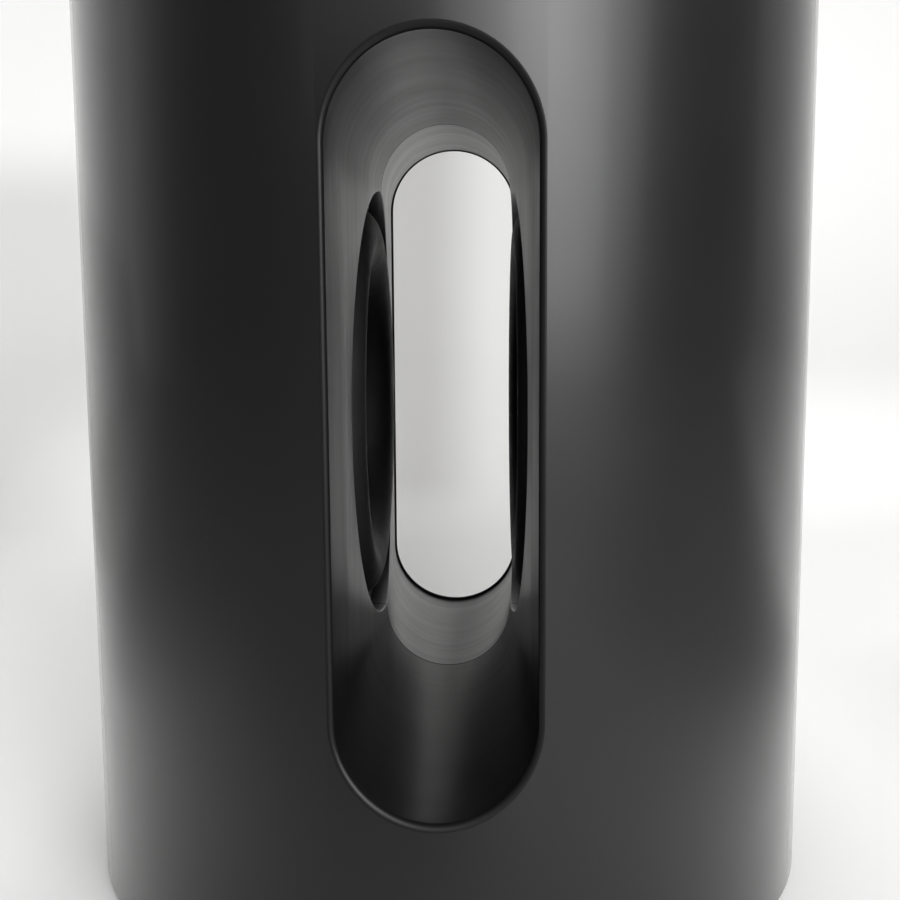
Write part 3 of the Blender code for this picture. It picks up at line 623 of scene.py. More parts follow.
def backdrop_paper():
    """White paper with painted daylight from the right: emission paints a soft glow beside and behind the
    object, a strip straight behind it is painted darker as its shadow, and above left painted light falls over
    that shadow's upper edge. The floor in front on the left and at the outer sides in front is painted darker
    as shade."""
    n = Nodes("paper_white_painted_light")
    split = n.add("ShaderNodeSeparateXYZ")
    n.link(n.place, split.inputs[0])
    across, back, up = (split.outputs[key] for key in "XYZ")
    aside = n.calc("ABSOLUTE", across, 0.0)

    # Painted light: the wall's emission glow, brightest on the right, with more painted light above left and
    # far left
    above_left = n.zone((across, -0.35, -0.12, 1.0, 0.0), (up, 0.27, 0.36, 0.02, 0.26))
    right = n.zone((across, 0.02, 0.30, 0.0, WALL_GLOW), (up, 0.10, 0.42, 0.70, 1.45))
    far_left = n.zone((across, -0.90, -0.40, SIDE_GLOW, 0.0))
    upright = n.zone((up, -0.02, 0.10, 0.0, 1.0))
    wall = n.calc("MULTIPLY", n.total(above_left, right, far_left), upright)
    # Painted light on the floor: an emission glow beside and behind the object, and a painted patch of
    # sunlight in front on the right
    near_right = n.zone((across, 0.15, 0.30, 0.0, 1.0), (back, 0.08, 0.25, 1.0, 0.0))
    margins = n.calc("SUBTRACT", n.zone((across, -0.50, -0.26, 0.0, 1.0)), near_right)
    beside = n.calc("MULTIPLY", n.zone((aside, 0.04, 0.16, 0.1, 1.0)), margins)
    flat = n.zone((back, -0.30, -0.02, 0.0, 1.0), (up, 0.01, 0.13, FLOOR_GLOW, 0.0))
    painted_sun_patch = n.zone((across, -0.02, 0.12, 0.0, PAINTED_SUN_ON_FLOOR), (back, -0.15, -0.02, 1.0, 0.0))
    glow = n.total(wall, n.calc("MULTIPLY", flat, beside), painted_sun_patch)
    n.link(glow, n.shader.inputs["Emission Strength"])
    n.shader.inputs["Emission Color"].default_value = WHITE

    paper = n.mix(n.spread(n.noise(3.0), 0.0, 1.0), (0.80, 0.80, 0.79), (0.83, 0.83, 0.82))
    # Painted shadow: a strip straight behind the object is painted darker, fully on the wall and half on the
    # floor
    painted_shadow_mask = n.zone((across, -0.26, -0.08, 0.0, 1.0), (across, -0.045, 0.03, 1.0, 0.0),
                    (up, 0.0, 0.03, 0.5, 1.0))
    tone = n.mix(painted_shadow_mask, paper, (0.55, 0.545, 0.54))
    # Painted shade: the floor in front on the left and at the outer sides in front is painted darker
    front_left = n.zone((back, -0.28, -0.10, 1.0, 0.0), (across, -0.02, 0.10, 1.0, 0.0))
    outer = n.zone((aside, 0.20, 0.34, 0.0, 1.0), (back, 0.02, 0.25, 1.0, 0.0))
    dim = n.calc("MAXIMUM", front_left, outer)
    return n.finish(n.mix(dim, tone, (0.42, 0.42, 0.42)), n.spread(n.noise(20.0), 0.75, 0.85))


def make_stage():
    """A pale floor that sweeps up into a pale wall well behind the object."""
    sweep = 0.30
    top = 2.0
    half_width = 3.2
    outline = [(-3.0, 0.0)]
    for step in range(17):
        angle = math.pi / 2 * step / 16
        outline.append((WALL_Y - sweep + sweep * math.sin(angle), sweep * (1 - math.cos(angle))))
    outline.append((WALL_Y, top))
    shape = bmesh.new()
    near = [shape.verts.new((-half_width, y, z)) for y, z in outline]
    far = [shape.verts.new((half_width, y, z)) for y, z in outline]
    for i in range(len(near) - 1):
        shape.faces.new((near[i], far[i], far[i + 1], near[i + 1]))
    mesh = bpy.data.meshes.new("floor")
    shape.to_mesh(mesh)
    shape.free()
    floor = bpy.data.objects.new("floor", mesh)
    bpy.context.scene.collection.objects.link(floor)
    mesh.shade_smooth()
    mesh.materials.append(backdrop_paper())


# ---------------------------------------------------------------- shell and caps

def stadium(half_width, half_height, steps=ARC_STEPS):
    """Points (x, z) around a stadium that is centred on the origin."""
    straight = half_height - half_width
    outline = []
    for end in (1, -1):
        for step in range(steps + 1):
            angle = math.pi * step / steps
            outline.append((end * half_width * math.cos(angle),
                            end * (straight + half_width * math.sin(angle))))
    return outline


def make_shell():
    """The outer wall: a tube with a softened foot and top edge, two mouths and the rear openings."""
    inside = BODY_RADIUS - WALL
    profile = rounded([(inside, SHELL_LOW.z), (BODY_RADIUS, SHELL_LOW.z), (BODY_RADIUS, SHELL_HIGH.z),
                       (inside, SHELL_HIGH.z)], in_mm(0.2, 0.7, 0.3, 0.2))
    shell = new_object("shell_wall", turned(profile, ROUND_STEPS))
    reach = BODY_RADIUS * 1.2
    mouth = [(x, z + SLOT_CENTRE_Z)
             for x, z in stadium(SLEEVE_HALF_WIDTH + HAIRLINE, SLEEVE_HALF_HEIGHT + HAIRLINE)]
    cut(shell, extruded(mouth, -reach, reach, "Y"))
    recess = rounded(rectangle((-RECESS_HALF_WIDTH, RECESS_BOTTOM), (RECESS_HALF_WIDTH, RECESS_TOP)),
                     4.0 * MM, 8)
    cut(shell, extruded(recess, BODY_RADIUS * 0.7, reach, "Y"))
    for x, radius in ((0.0, 4.3 * MM), (LENS_HIGH.x - LENS_RADIUS, 1.35 * MM)):
        place = facing((x, BODY_RADIUS * 0.9, BUTTON_CENTRE_Z), BACKWARD)
        cut(shell, moved(disc(radius, 0.0, 30 * MM, 48), place))
    round_normals(shell)
    return fit_out(shell, "satin_black", "outer_shell")


def round_normals(shell):
    """Give the outer face the true normals of its cylinder, so that the light runs evenly over it."""
    mesh = shell.data
    low = SHELL_LOW.z + 0.75 * MM
    high = SHELL_HIGH.z - 0.35 * MM
    normals = [tuple(corner.vector) for corner in mesh.corner_normals]
    for face in mesh.polygons:
        flat = Vector((face.center.x, face.center.y, 0))
        outside = flat.length > BODY_RADIUS - 0.3 * MM and abs(face.normal.z) < 0.01
        if not outside or face.normal.dot(flat.normalized()) < 0.99:
            continue
        for index in face.loop_indices:
            corner = mesh.vertices[mesh.loops[index].vertex_index].co
            if low < corner.z < high:
                normals[index] = tuple(Vector((corner.x, corner.y, 0)).normalized())
    mesh.normals_split_custom_set(normals)


def make_top_cap():
    low = SHELL_HIGH.z + SEAM
    skirt = BODY_RADIUS - WALL - SEAM
    skirt_inside = skirt - 3 * MM
    roof = low + 0.8 * MM
    profile = [(0.0, BODY_TOP), (BODY_RADIUS, BODY_TOP), (BODY_RADIUS, low), (skirt, low),
               (skirt, low - 9 * MM), (skirt_inside, low - 9 * MM), (skirt_inside, roof), (0.0, roof)]
    outline = rounded(profile, in_mm(0, 3.5, 0.3, 0, 0.5, 0.5, 0.3, 0), 10)
    return fit_out(new_object("top_cover", turned(outline, ROUND_STEPS), 40), "satin_black", "top_cap")


# ---------------------------------------------------------------- tunnel

def sleeve_loop(shape, half, half_width, half_height, depth_at, drop=0.0):
    return [shape.verts.new((x, half * depth_at(x), z + SLOT_CENTRE_Z - drop))
            for x, z in stadium(half_width, half_height)]


def tunnel_half(name, half):
    """half is -1 for the front piece and 1 for the rear one. Behind its rounded lip each piece is
    undercut by a hair, a little more at the bottom, and then narrows towards the waist."""
    def at(depth):
        return lambda x: depth

    def below_surface(depth):
        return lambda x: math.sqrt(BODY_RADIUS ** 2 - x ** 2) - depth

    def wall(t):
        """A loop of the drafted wall, t of the way from the lip to the waist."""
        half_width = (MOUTH_HALF_WIDTH + UNDERCUT) * (1 - t) + WAIST_HALF_WIDTH * t
        half_height = (MOUTH_HALF_HEIGHT + UNDERCUT) * (1 - t) + WAIST_HALF_HEIGHT * t
        start = below_surface(LIP_DEPTH)
        return (half_width, half_height, lambda x: start(x) * (1 - t) + seam_edge * t,
                UNDERCUT_DROP * (1 - t))

    seam_edge = SEAM / 2 + CREASE
    loops = [(SLEEVE_HALF_WIDTH, SLEEVE_HALF_HEIGHT, at(SEAM / 2))]
    for step in range(LIP_STEPS + 1):
        angle = math.pi / 2 * step / LIP_STEPS
        inset = LIP_RADIUS * (1 - math.cos(angle))
        loops.append((SLEEVE_HALF_WIDTH - LIP_RADIUS * math.sin(angle),
                      SLEEVE_HALF_HEIGHT - LIP_RADIUS * math.sin(angle) - LIP_EXTRA * step / LIP_STEPS,
                      below_surface(inset)))
    for depth, width in ((LIP_DEPTH - CREASE, 0.0), (LIP_DEPTH, CREASE),
                         (LIP_DEPTH, UNDERCUT - 0.05 * MM)):
        loops.append((MOUTH_HALF_WIDTH + width, MOUTH_HALF_HEIGHT + width, below_surface(depth),
                      UNDERCUT_DROP * width / UNDERCUT))
    loops += [wall(t) for t in (0.003, 0.02, 0.25, 0.5, 0.75, 0.98, 0.997, 1.0)]
    loops.append((WAIST_HALF_WIDTH + CREASE, WAIST_HALF_HEIGHT + CREASE, at(SEAM / 2)))
    shape = bmesh.new()
    made = [sleeve_loop(shape, half, *loop) for loop in loops]
    for near, far in zip(made, made[1:] + made[:1]):
        close_tube(shape, near, far)
    piece = new_object(name, shape)
    window = disc(WINDOW_RADIUS, -40 * MM, 40 * MM, 192)
    cut(piece, moved(window, facing((0, 0, SLOT_CENTRE_Z), (1, 0, 0))))
    round_window_rim(piece)
    return piece


def round_window_rim(piece):
    """Soften the edge where the round window breaks through the inner wall."""
    shape = bmesh.new()
    shape.from_mesh(piece.data)
    rim = []
    for edge in shape.edges:
        on_rim = all(abs(math.hypot(v.co.y, v.co.z - SLOT_CENTRE_Z) - WINDOW_RADIUS) < 0.02 * MM
                     and abs(v.co.x) < SLEEVE_HALF_WIDTH - 1 * MM for v in edge.verts)
        if on_rim and len(edge.link_faces) == 2 and edge.calc_face_angle() > math.radians(50):
            rim.append(edge)
    bmesh.ops.bevel(shape, geom=rim, offset=0.5 * MM, segments=3, profile=0.5, affect="EDGES",
                    clamp_overlap=True)
    shape.to_mesh(piece.data)
    shape.free()
    soften(piece)


def rib_outline(end):
    """The flat-topped arch that stands on the sleeve's round end; end is 1 for the top."""
    straight = SLEEVE_HALF_HEIGHT - SLEEVE_HALF_WIDTH
    steps = 32
    arch = []
    for step in range(steps + 1):
        angle = math.pi * step / steps
        arch.append((SLEEVE_HALF_WIDTH * math.cos(angle), straight + SLEEVE_HALF_WIDTH * math.sin(angle)))
    arch[0] = (RIB_HALF_WIDTH, straight)
    arch[-1] = (-RIB_HALF_WIDTH, straight)
    corners = [(-RIB_HALF_WIDTH, RIB_TOP), (RIB_HALF_WIDTH, RIB_TOP)]
    return [(x, end * z + SLOT_CENTRE_Z) for x, z in arch + corners]


def make_tunnel():
    for half, node in ((-1, "tunnel_front"), (1, "tunnel_rear")):
        sleeve = tunnel_half(node.replace("tunnel", "tunnel_sleeve"), half)
        fit_out(sleeve, "satin_black", node, material="satin_tunnel")
        waist = sorted((half * SEAM / 2, half * (WAIST_RIB + SEAM / 2)))
        plate = (half * PLATE_RIB_Y - PLATE_RIB / 2, half * PLATE_RIB_Y + PLATE_RIB / 2)
        ribs = bmesh.new()
        for end in (1, -1):
            for low, high in (waist, plate):
                merge(ribs, extruded(rib_outline(end), low, high, "Y"))
        make_piece(node + "_ribs", ribs, "moulded_black", edge=(0.4 * MM, 2))
    screws = [((x, WAIST_RIB + SEAM / 2, SLOT_CENTRE_Z + z), BACKWARD)
              for x in (-WAIST_SCREW_X, WAIST_SCREW_X) for z in (-WAIST_SCREW_Z, WAIST_SCREW_Z)]
    make_screws("tunnel_screws", screws, 3.0 * MM, 14.0 * MM)


# ---------------------------------------------------------------- drivers
# Built along Z, the distance from the tunnel's centre plane, and then turned to each side.

def driver_place(sign):
    return Matrix.Translation((0, 0, SLOT_CENTRE_Z)) @ Matrix.Rotation(sign * math.pi / 2, 4, "Y")


def roll_profile():
    """The half roll, its two flanges and the thickness between its two skins."""
    outer = 9.9 * MM
    inner = 9.0 * MM
    centre = 55.0 * MM
    flange = 67.5 * MM
    middle = SURROUND_LOW.x + outer
    foot = SURROUND_HIGH.x
    steps = 28
    crest = []
    inside = []
    for step in range(steps + 1):
        angle = math.pi * step / steps
        crest.append((centre + outer * math.cos(angle), middle - outer * math.sin(angle)))
        inside.append((centre - inner * math.cos(angle), middle + SEAM - inner * math.sin(angle)))
    return ([(flange, foot), (flange, middle)] + crest + [(CONE_MOUTH, middle), (CONE_MOUTH, foot)]
            + [(centre - inner, foot)] + inside[1:-1] + [(centre + inner, foot)])


def cone_profile():
    """A flared funnel with a flat rim for the surround."""
    skin = 1.2 * MM
    steps = 18
    radii = [CONE_MOUTH + (CONE_NECK - CONE_MOUTH) * step / steps for step in range(steps + 1)]
    front = [(CONE_RIM, CONE_FACE)] + [(r, cone_height(r)) for r in radii]
    back = [(r, cone_height(r) + skin) for r in reversed(radii[1:])]
    return front + back + [(CONE_MOUTH - 1 * MM, CONE_FACE + 2 * skin), (CONE_RIM, CONE_FACE + skin)]


def cone_height(radius):
    travel = (CONE_MOUTH - radius) / (CONE_MOUTH - CONE_NECK)
    return CONE_FACE + CONE_DEPTH * max(travel, 0.0) ** 0.92


def dish_profile():
    """The shallow dish that closes the cone's middle."""
    rim = 28.0 * MM
    rise = 4.5 * MM
    skin = 0.7 * MM
    high = cone_height(rim) - SEAM
    steps = 16
    front = []
    back = []
    for step in range(steps + 1):
        radius = rim * (1 - step / steps)
        height = high - skin + rise * (1 - (radius / rim) ** 2)
        front.append((radius, height - skin))
        back.append((radius, height))
    return front + back[::-1]


def spider_profile():
    """The corrugated cloth disc that centres the coil."""
    outer = 49.0 * MM
    inner = 19.7 * MM
    skin = 0.45 * MM
    waves = 5
    half = (SPIDER_HIGH.x - SPIDER_LOW.x) / 2
    middle = SPIDER_LOW.x + half
    steps = 80
    front = []
    for step in range(steps + 1):
        t = step / steps
        swell = min(1.0, 8 * t, 8 * (1 - t)) * (half - skin) * math.sin(t * waves * math.tau)
        front.append((outer + (inner - outer) * t, middle - skin / 2 + swell))
    return front + [(radius, height + skin) for radius, height in reversed(front)]


def hang_between(piece):
    """A ring of rubber or cloth. Its points are laid out along its radius while its transform is baked in, and
    are then put back where they were."""
    vertices = piece.data.vertices
    shaped = [vertex.co.copy() for vertex in vertices]
    for vertex in vertices:
        vertex.co = (math.hypot(vertex.co.y, vertex.co.z - SLOT_CENTRE_Z), 0, 0)
    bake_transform(piece)
    for vertex, place in zip(vertices, shaped):
        vertex.co = place
    piece.data.update()


def make_baffle(side, place):
    low = PLATE_LOW.x
    high = PLATE_HIGH.x
    half_width = PLATE_HIGH.y
    bore = WINDOW_RADIUS - 1 * MM
    outline = rounded(rectangle((-RIB_TOP - 1 * MM, -half_width), (RIB_TOP + 1 * MM, half_width)),
                      8.0 * MM, 8)
    plate = new_object(side + "_baffle", extruded(outline, low, high, "Z"))
    hole = [(0.0, low - 1 * MM), (WINDOW_RADIUS, low - 1 * MM), (WINDOW_RADIUS, low + 0.3 * MM),
            (bore, low + 1.2 * MM), (bore, high + 1 * MM), (0.0, high + 1 * MM)]
    cut(plate, turned(hole, DRIVER_STEPS))
    plate.data.transform(place)
    fit_out(bevelled(plate, 0.3 * MM, 2), "moulded_black", side + "_baffle_plate")


def make_driver(side, sign):
    place = driver_place(sign)
    make_baffle(side, place)
    roll = new_object(side + "_roll", moved(turned(roll_profile(), DRIVER_STEPS), place))
    spider = new_object(side + "_centring_disc", moved(turned(spider_profile(), 120), place))
    for piece, node, slot, outer, inner in ((roll, "_surround", "rubber_black", 64.5 * MM, 46.5 * MM),
                                            (spider, "_spider", "cloth_tan", 47.5 * MM, 21.0 * MM)):
        piece.data.materials.append(MATERIALS[slot])
        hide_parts(side + node)
        hang_between(piece)
    for name, profile, node in (("_diaphragm_cone", cone_profile(), "_cone"),
                                ("_centre_dish", dish_profile(), "_dust_cap")):
        make_piece(side + name, moved(turned(profile, DRIVER_STEPS), place), "cone_black", side + node,
                   body=side + "_diaphragm")
    bolts = [(place @ Vector((x, y, BASKET_FLANGE_BACK)), (sign, 0, 0)) for x, y in around(BOLT_RING, 30)]
    make_screws(side + "_driver_screws", bolts, 3.0 * MM, 6.0 * MM)
    plate_screws = [((sign * PLATE_HIGH.x, y, SLOT_CENTRE_Z + z), (sign, 0, 0))
                    for y in (-PLATE_RIB_Y, PLATE_RIB_Y) for z in (-PLATE_SCREW_Z, PLATE_SCREW_Z)]
    make_screws(side + "_baffle_screws", plate_screws, 3.0 * MM, 12.0 * MM)
    make_motor(side, sign)


def make_motor(side, sign):
    """Basket, magnet system, coil, gasket and terminal: each measured along the driver's own axis."""
    place = driver_place(sign)
    diaphragm = side + "_diaphragm"

    def span(node):
        low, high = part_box("right_" + node)
        return low.x, high.x, high.y

    def turned_piece(name, profile, node, slot, body=BODY, steps=120):
        make_piece(side + name, moved(turned(profile, steps), place), slot, side + "_" + node, body=body)

    def ring(name, node, inner, edge, slot, body=BODY):
        low, high, radius = span(node)
        profile = [(inner, low), (radius, low), (radius, high), (inner, high)]
        turned_piece(name, rounded(profile, edge), node, slot, body)

    ring("_front_plate", "top_plate", 21.4 * MM, 0.5 * MM, "zinc_steel")
    ring("_ferrite_ring", "magnet", 25.0 * MM, 1.2 * MM, "ferrite")
    ring("_flange_gasket", "driver_gasket", 68.5 * MM, 0.3 * MM, "rubber_black")
    ring("_coil_former", "voice_coil_former", 18.7 * MM, 0.1 * MM, "paper_tan", diaphragm)
    low, high, radius = span("voice_coil")
    turns = 36
    pitch = (high - low) / turns
    inside = radius - 1.0 * MM
    valley = radius - 0.15 * MM
    winding = [(inside, low)]
    for turn in range(turns):
        winding += [(valley, low + pitch * (turn + 0.05)), (radius, low + pitch * (turn + 0.5)),
                    (valley, low + pitch * (turn + 0.95))]
    winding.append((inside, high))
    turned_piece("_winding", winding, "voice_coil", "copper", diaphragm, 80)
    low, high, radius = span("yoke")
    floor = span("magnet")[1] + SEAM
    pole = 18.2 * MM
    vent = 6.0 * MM
    yoke = [(vent, low), (pole, low), (pole, floor), (radius, floor), (radius, high), (vent, high)]
    turned_piece("_pole_yoke", rounded(yoke, in_mm(1.5, 0.3, 0.6, 0.8, 1.5, 1.0)), "yoke", "zinc_steel")
    make_basket(side, place)
    low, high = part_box(side + "_terminal")
    make_piece(side + "_terminal_block", box(low, high), "moulded_black", side + "_terminal",
               edge=(0.6 * MM, 3))
    tabs = bmesh.new()
    near, far = sorted((high.x, high.x + 5 * MM) if sign > 0 else (low.x, low.x - 5 * MM))
    centre = (low.z + high.z) / 2
    for y in (-4.5 * MM, 4.5 * MM):
        merge(tabs, box((near, y - 1.4 * MM, centre - 0.4 * MM), (far, y + 1.4 * MM, centre + 0.4 * MM)))
    make_piece(side + "_terminal_tabs", tabs, "nickel", edge=(0.15 * MM, 2))


def make_basket(side, place):
    """The pressed frame: a bolted flange, six legs between open windows, and the magnet's seat."""
    face, back = BASKET_LOW.x, BASKET_FLANGE_BACK
    rim = BASKET_HIGH.y
    end = BASKET_HIGH.x
    seat = end - 2.7 * MM
    legs_outside = [(67 * MM, back), (52 * MM, 56 * MM), (46 * MM, 62 * MM), (42 * MM, end)]
    legs_inside = [(38 * MM, seat), (43 * MM, 59 * MM), (43 * MM, 56.4 * MM), (49 * MM, 56.4 * MM),
                   (49 * MM, 54 * MM), (60.5 * MM, back)]
    profile = ([(rim, face), (rim, back)] + legs_outside + [(22.5 * MM, end), (22.5 * MM, seat)]
               + legs_inside + [(60.5 * MM, face)])
    radii = in_mm(0.5, 1.0, 3, 2.5, 2, 1.5, 0.4, 0.4, 1.5, 0.8, 0.5, 0.5, 1.0, 1.0, 0.4)
    basket = new_object(side + "_frame", turned(rounded(profile, radii), 180))
    for step in range(3):
        slit = rounded(rectangle((-13 * MM, 39 * MM), (13 * MM, 53 * MM)), 4 * MM, 6)
        window = extruded(slit, -80 * MM, 80 * MM, "X")
        cut(basket, moved(window, Matrix.Rotation(math.radians(60 * step), 4, "Z")))
    holes = bmesh.new()
    for point in around(BOLT_RING, 30):
        merge(holes, disc(1.9 * MM, 0.0, back + 2 * MM, 20, point))
    cut(basket, holes)
    basket.data.transform(place)
    fit_out(basket, "painted_steel", side + "_basket")


# ---------------------------------------------------------------- base

def make_base():
    low = BASE_LOW.z
    top = FOOT_HIGH.z + 4.3 * MM
    rim = BASE_HIGH.x
    profile = [(0.0, low + 0.6 * MM), (38 * MM, low + 0.6 * MM), (39.5 * MM, low)]
    for radius in (81.0 * MM, 104.0 * MM):
        profile += [(radius - 0.5 * MM, low), (radius, low + 0.5 * MM), (radius + 0.5 * MM, low)]
    profile += [(rim, low), (rim, top), (0.0, top)]
    radii = in_mm(0, 0.4, 0.4, *[0.1] * 6, 0.4, 0.4, 0)
    plate = new_object("base_cover", turned(rounded(profile, radii), 180))
    posts = bmesh.new()
    for x in (-69, -7, 7, 69):
        for y in (-39, 55):
            merge(posts, disc(3 * MM, low + 1 * MM, BASE_HIGH.z, 24, (x * MM, y * MM)))
    combine(plate, posts, "UNION")
    screw_ring = [(x, y) for y, x in around(107.4 * MM, 27)]
    for radius, high in ((1.9 * MM, 20 * MM), (3.5 * MM, low + 2.2 * MM)):
        holes = bmesh.new()
        for point in screw_ring:
            merge(holes, disc(radius, -1 * MM, high, 32, point))
        cut(plate, holes)
    fit_out(plate, "moulded_black", "base_plate")
    bosses = bmesh.new()
    boss = [(1.8 * MM, 7.3 * MM), (4.6 * MM, 7.3 * MM), (4.6 * MM, 29 * MM), (1.8 * MM, 29 * MM)]
    for number, (x, y) in enumerate(screw_ring, 1):
        piece = screw(f"base_fixing_{number}", 3.1 * MM, 12.5 * MM)
        piece.data.transform(facing((x, y, low + 0.25 * MM), (0, 0, -1)))
        fit_out(piece, "zinc_steel", f"base_screw_{number}")
        merge(bosses, moved(turned(rounded(boss, 0.3 * MM), 28), Matrix.Translation((x, y, 0))))
    make_piece("shell_bosses", bosses, "moulded_black")


def make_foot():
    """The rubber ring the object stands on, with fine concentric ridges underneath."""
    inner = 82.0 * MM
    outer = FOOT_HIGH.x
    groove = 0.3 * MM
    ridges = 9
    pitch = (outer - inner - 2 * MM) / ridges
    profile = [(inner, FOOT_HIGH.z), (inner, groove)]
    for ridge in range(ridges):
        start = inner + 1 * MM + pitch * ridge
        profile += [(start, groove), (start + 0.15 * pitch, 0.0), (start + 0.7 * pitch, 0.0),
                    (start + 0.85 * pitch, groove)]
    profile += [(outer, groove), (outer, FOOT_HIGH.z)]
    make_piece("foot_pad", turned(rounded(profile, 0.1 * MM, 2), 180), "rubber_black", "foot_ring")


# ---------------------------------------------------------------- rear connectors and button

def rounded_box(low, high, radius):
    """A box with its four edges along Y rounded."""
    outline = rounded(rectangle((low[0], low[2]), (high[0], high[2])), radius, 8)
    return extruded(outline, low[1], high[1], "Y")


def make_io_panel():
    """The tray behind the shell's rear opening, with a raised frame round each connector."""
    wall = 2.6 * MM
    gap = 0.4 * MM
    rim = gap + 0.9 * MM
    face = PANEL_LOW.y + wall
    half = RECESS_HALF_WIDTH + gap
    low = RECESS_BOTTOM - gap
    high = RECESS_TOP + gap
    panel = new_object("connector_tray", rounded_box((-half - wall, PANEL_LOW.y, low - 2 * MM),
                                                     (half + wall, BODY_RADIUS, high + 2 * MM), 5 * MM))
    combine(panel, disc(BODY_RADIUS - WALL - SEAM, 0, 100 * MM, ROUND_STEPS), "INTERSECT")
    cut(panel, rounded_box((-half, face, low), (half, BODY_RADIUS * 1.1, high), 4.2 * MM))
    for port_low, port_high, radius in ((INLET_LOW, INLET_HIGH, 1.5 * MM), (JACK_LOW, JACK_HIGH, 0.5 * MM)):
        frame_low = (port_low.x - rim, face - 0.5 * MM, max(port_low.z - rim, low + 0.3 * MM))
        frame_high = (port_high.x + rim, face + 0.5 * MM, port_high.z + rim)
        combine(panel, rounded_box(frame_low, frame_high, radius + rim), "UNION")
        cut(panel, rounded_box((port_low.x - gap, face - 10 * MM, port_low.z - 0.3 * MM),
                               (port_high.x + gap, face + 10 * MM, port_high.z + gap), radius))
    fit_out(bevelled(panel, 0.15 * MM, 2), "moulded_black", "io_panel")


def make_ac_inlet():
    """An oval cavity with a low tower at its end, through which two pins stand out."""
    x = (INLET_LOW.x + INLET_HIGH.x) / 2
    z = 21.0 * MM
    pin_offset = 4.3 * MM
    face = INLET_HIGH.y
    floor = face - 13 * MM
    inlet = new_object("mains_inlet", rounded_box(INLET_LOW, INLET_HIGH, 1.2 * MM))
    cavity = corner_pair(x, 8.6 * MM, floor, face + 1 * MM, z - 4.4 * MM, z + 4.4 * MM)
    cut(inlet, rounded_box(*cavity, 4.35 * MM))
    tower = corner_pair(x, 7.0 * MM, floor - 0.5 * MM, floor + 1.5 * MM, z - 2.9 * MM, z + 2.9 * MM)
    combine(inlet, rounded_box(*tower, 2.8 * MM), "UNION")
    for side in (-1, 1):
        hole = disc(1.45 * MM, -30 * MM, 0.0, 24)
        cut(inlet, moved(hole, facing((x + side * pin_offset, floor + 2 * MM, z), BACKWARD)))
    fit_out(bevelled(inlet, 0.25 * MM), "moulded_black", "ac_inlet")
    for side, node in ((-1, "inlet_pin_left"), (1, "inlet_pin_right")):
        low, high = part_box(node)
        length = high.y - low.y
        profile = [(0, 0), (1.2 * MM, 0), (1.2 * MM, length), (0, length)]
        pin = turned(rounded(profile, in_mm(0, 0.1, 0.9, 0), 6), 32)
        place = facing((x + side * pin_offset, low.y, z), BACKWARD)
        make_piece(node.replace("inlet", "mains"), moved(pin, place), "nickel", node)


def make_ethernet_jack():
    """A plated can round a black insert with eight sprung contacts and the latch's notch."""
    centre = (JACK_LOW.x + JACK_HIGH.x) / 2
    face = JACK_HIGH.y
    can = new_object("network_socket", box(JACK_LOW, JACK_HIGH))
    cut(can, box(*corner_pair(centre, 7.4 * MM, face - 19 * MM, face + 1 * MM, 14.5 * MM, 26.8 * MM)))
    fit_out(bevelled(can, 0.2 * MM, 2), "nickel", "ethernet_jack")
    body = corner_pair(centre, 7.3 * MM, face - 18.5 * MM, face - 0.6 * MM, 14.6 * MM, 26.7 * MM)
    insert = new_object("network_insert", box(*body))
    for half, low, high in ((6.0, 16.5, 23.5), (3.0, 23.0, 25.0), (1.6, 24.5, 26.0)):
        cut(insert, box(*corner_pair(centre, half * MM, face - 15 * MM, face + 1 * MM, low * MM, high * MM)))
    fit_out(bevelled(insert, 0.12 * MM, 2), "moulded_black")
    side = [(face - depth * MM, height * MM) for depth, height in (
        (14.8, 16.6), (4.0, 16.6), (3.6, 17.0), (12.0, 19.2), (12.4, 18.9), (5.5, 17.1), (14.8, 17.0))]
    contacts = bmesh.new()
    for index in range(8):
        x = centre + (index - 3.5) * 1.02 * MM
        merge(contacts, extruded(side, x - 0.18 * MM, x + 0.18 * MM, "X"))
    make_piece("network_contacts", contacts, "copper")


def make_join_button():
    """A round key with a shallow dish, on a collar that keeps it from leaving the shell."""
    back = BUTTON_LOW.y
    front = BUTTON_HIGH.y
    collar = BUTTON_HIGH.x
    neck = 4.0 * MM
    dish = neck - 0.7 * MM
    steps = 8
    profile = [(0.0, back), (collar, back), (collar, back + 2.5 * MM), (neck, back + 2.5 * MM), (neck, front)]
    for step in range(steps + 1):
        radius = dish * (1 - step / steps)
        profile.append((radius, front - 0.35 * MM * (1 - (radius / dish) ** 2)))
    radii = in_mm(0, 0.3, 0.3, 0.2, 0.45, *[0] * (steps + 1))
    place = facing((0, 0, BUTTON_CENTRE_Z), BACKWARD)
    key = moved(turned(rounded(profile, radii), 72), place)
    make_piece("join_key", key, "moulded_black", "join_button", body="button")
    radius = (LENS_HIGH.x - LENS_LOW.x) / 2
    length = LENS_HIGH.y - LENS_LOW.y
    profile = rounded([(0, 0), (radius, 0), (radius, length - 0.1 * MM), (0, length)], in_mm(0, 0, 0.3, 0), 6)
    place = facing(((LENS_LOW.x + LENS_HIGH.x) / 2, LENS_LOW.y, BUTTON_CENTRE_Z), BACKWARD)
    make_piece("status_light_pipe", moved(turned(profile, 40), place), "clear_lens", "status_lens")


# ---------------------------------------------------------------- electronics and lining

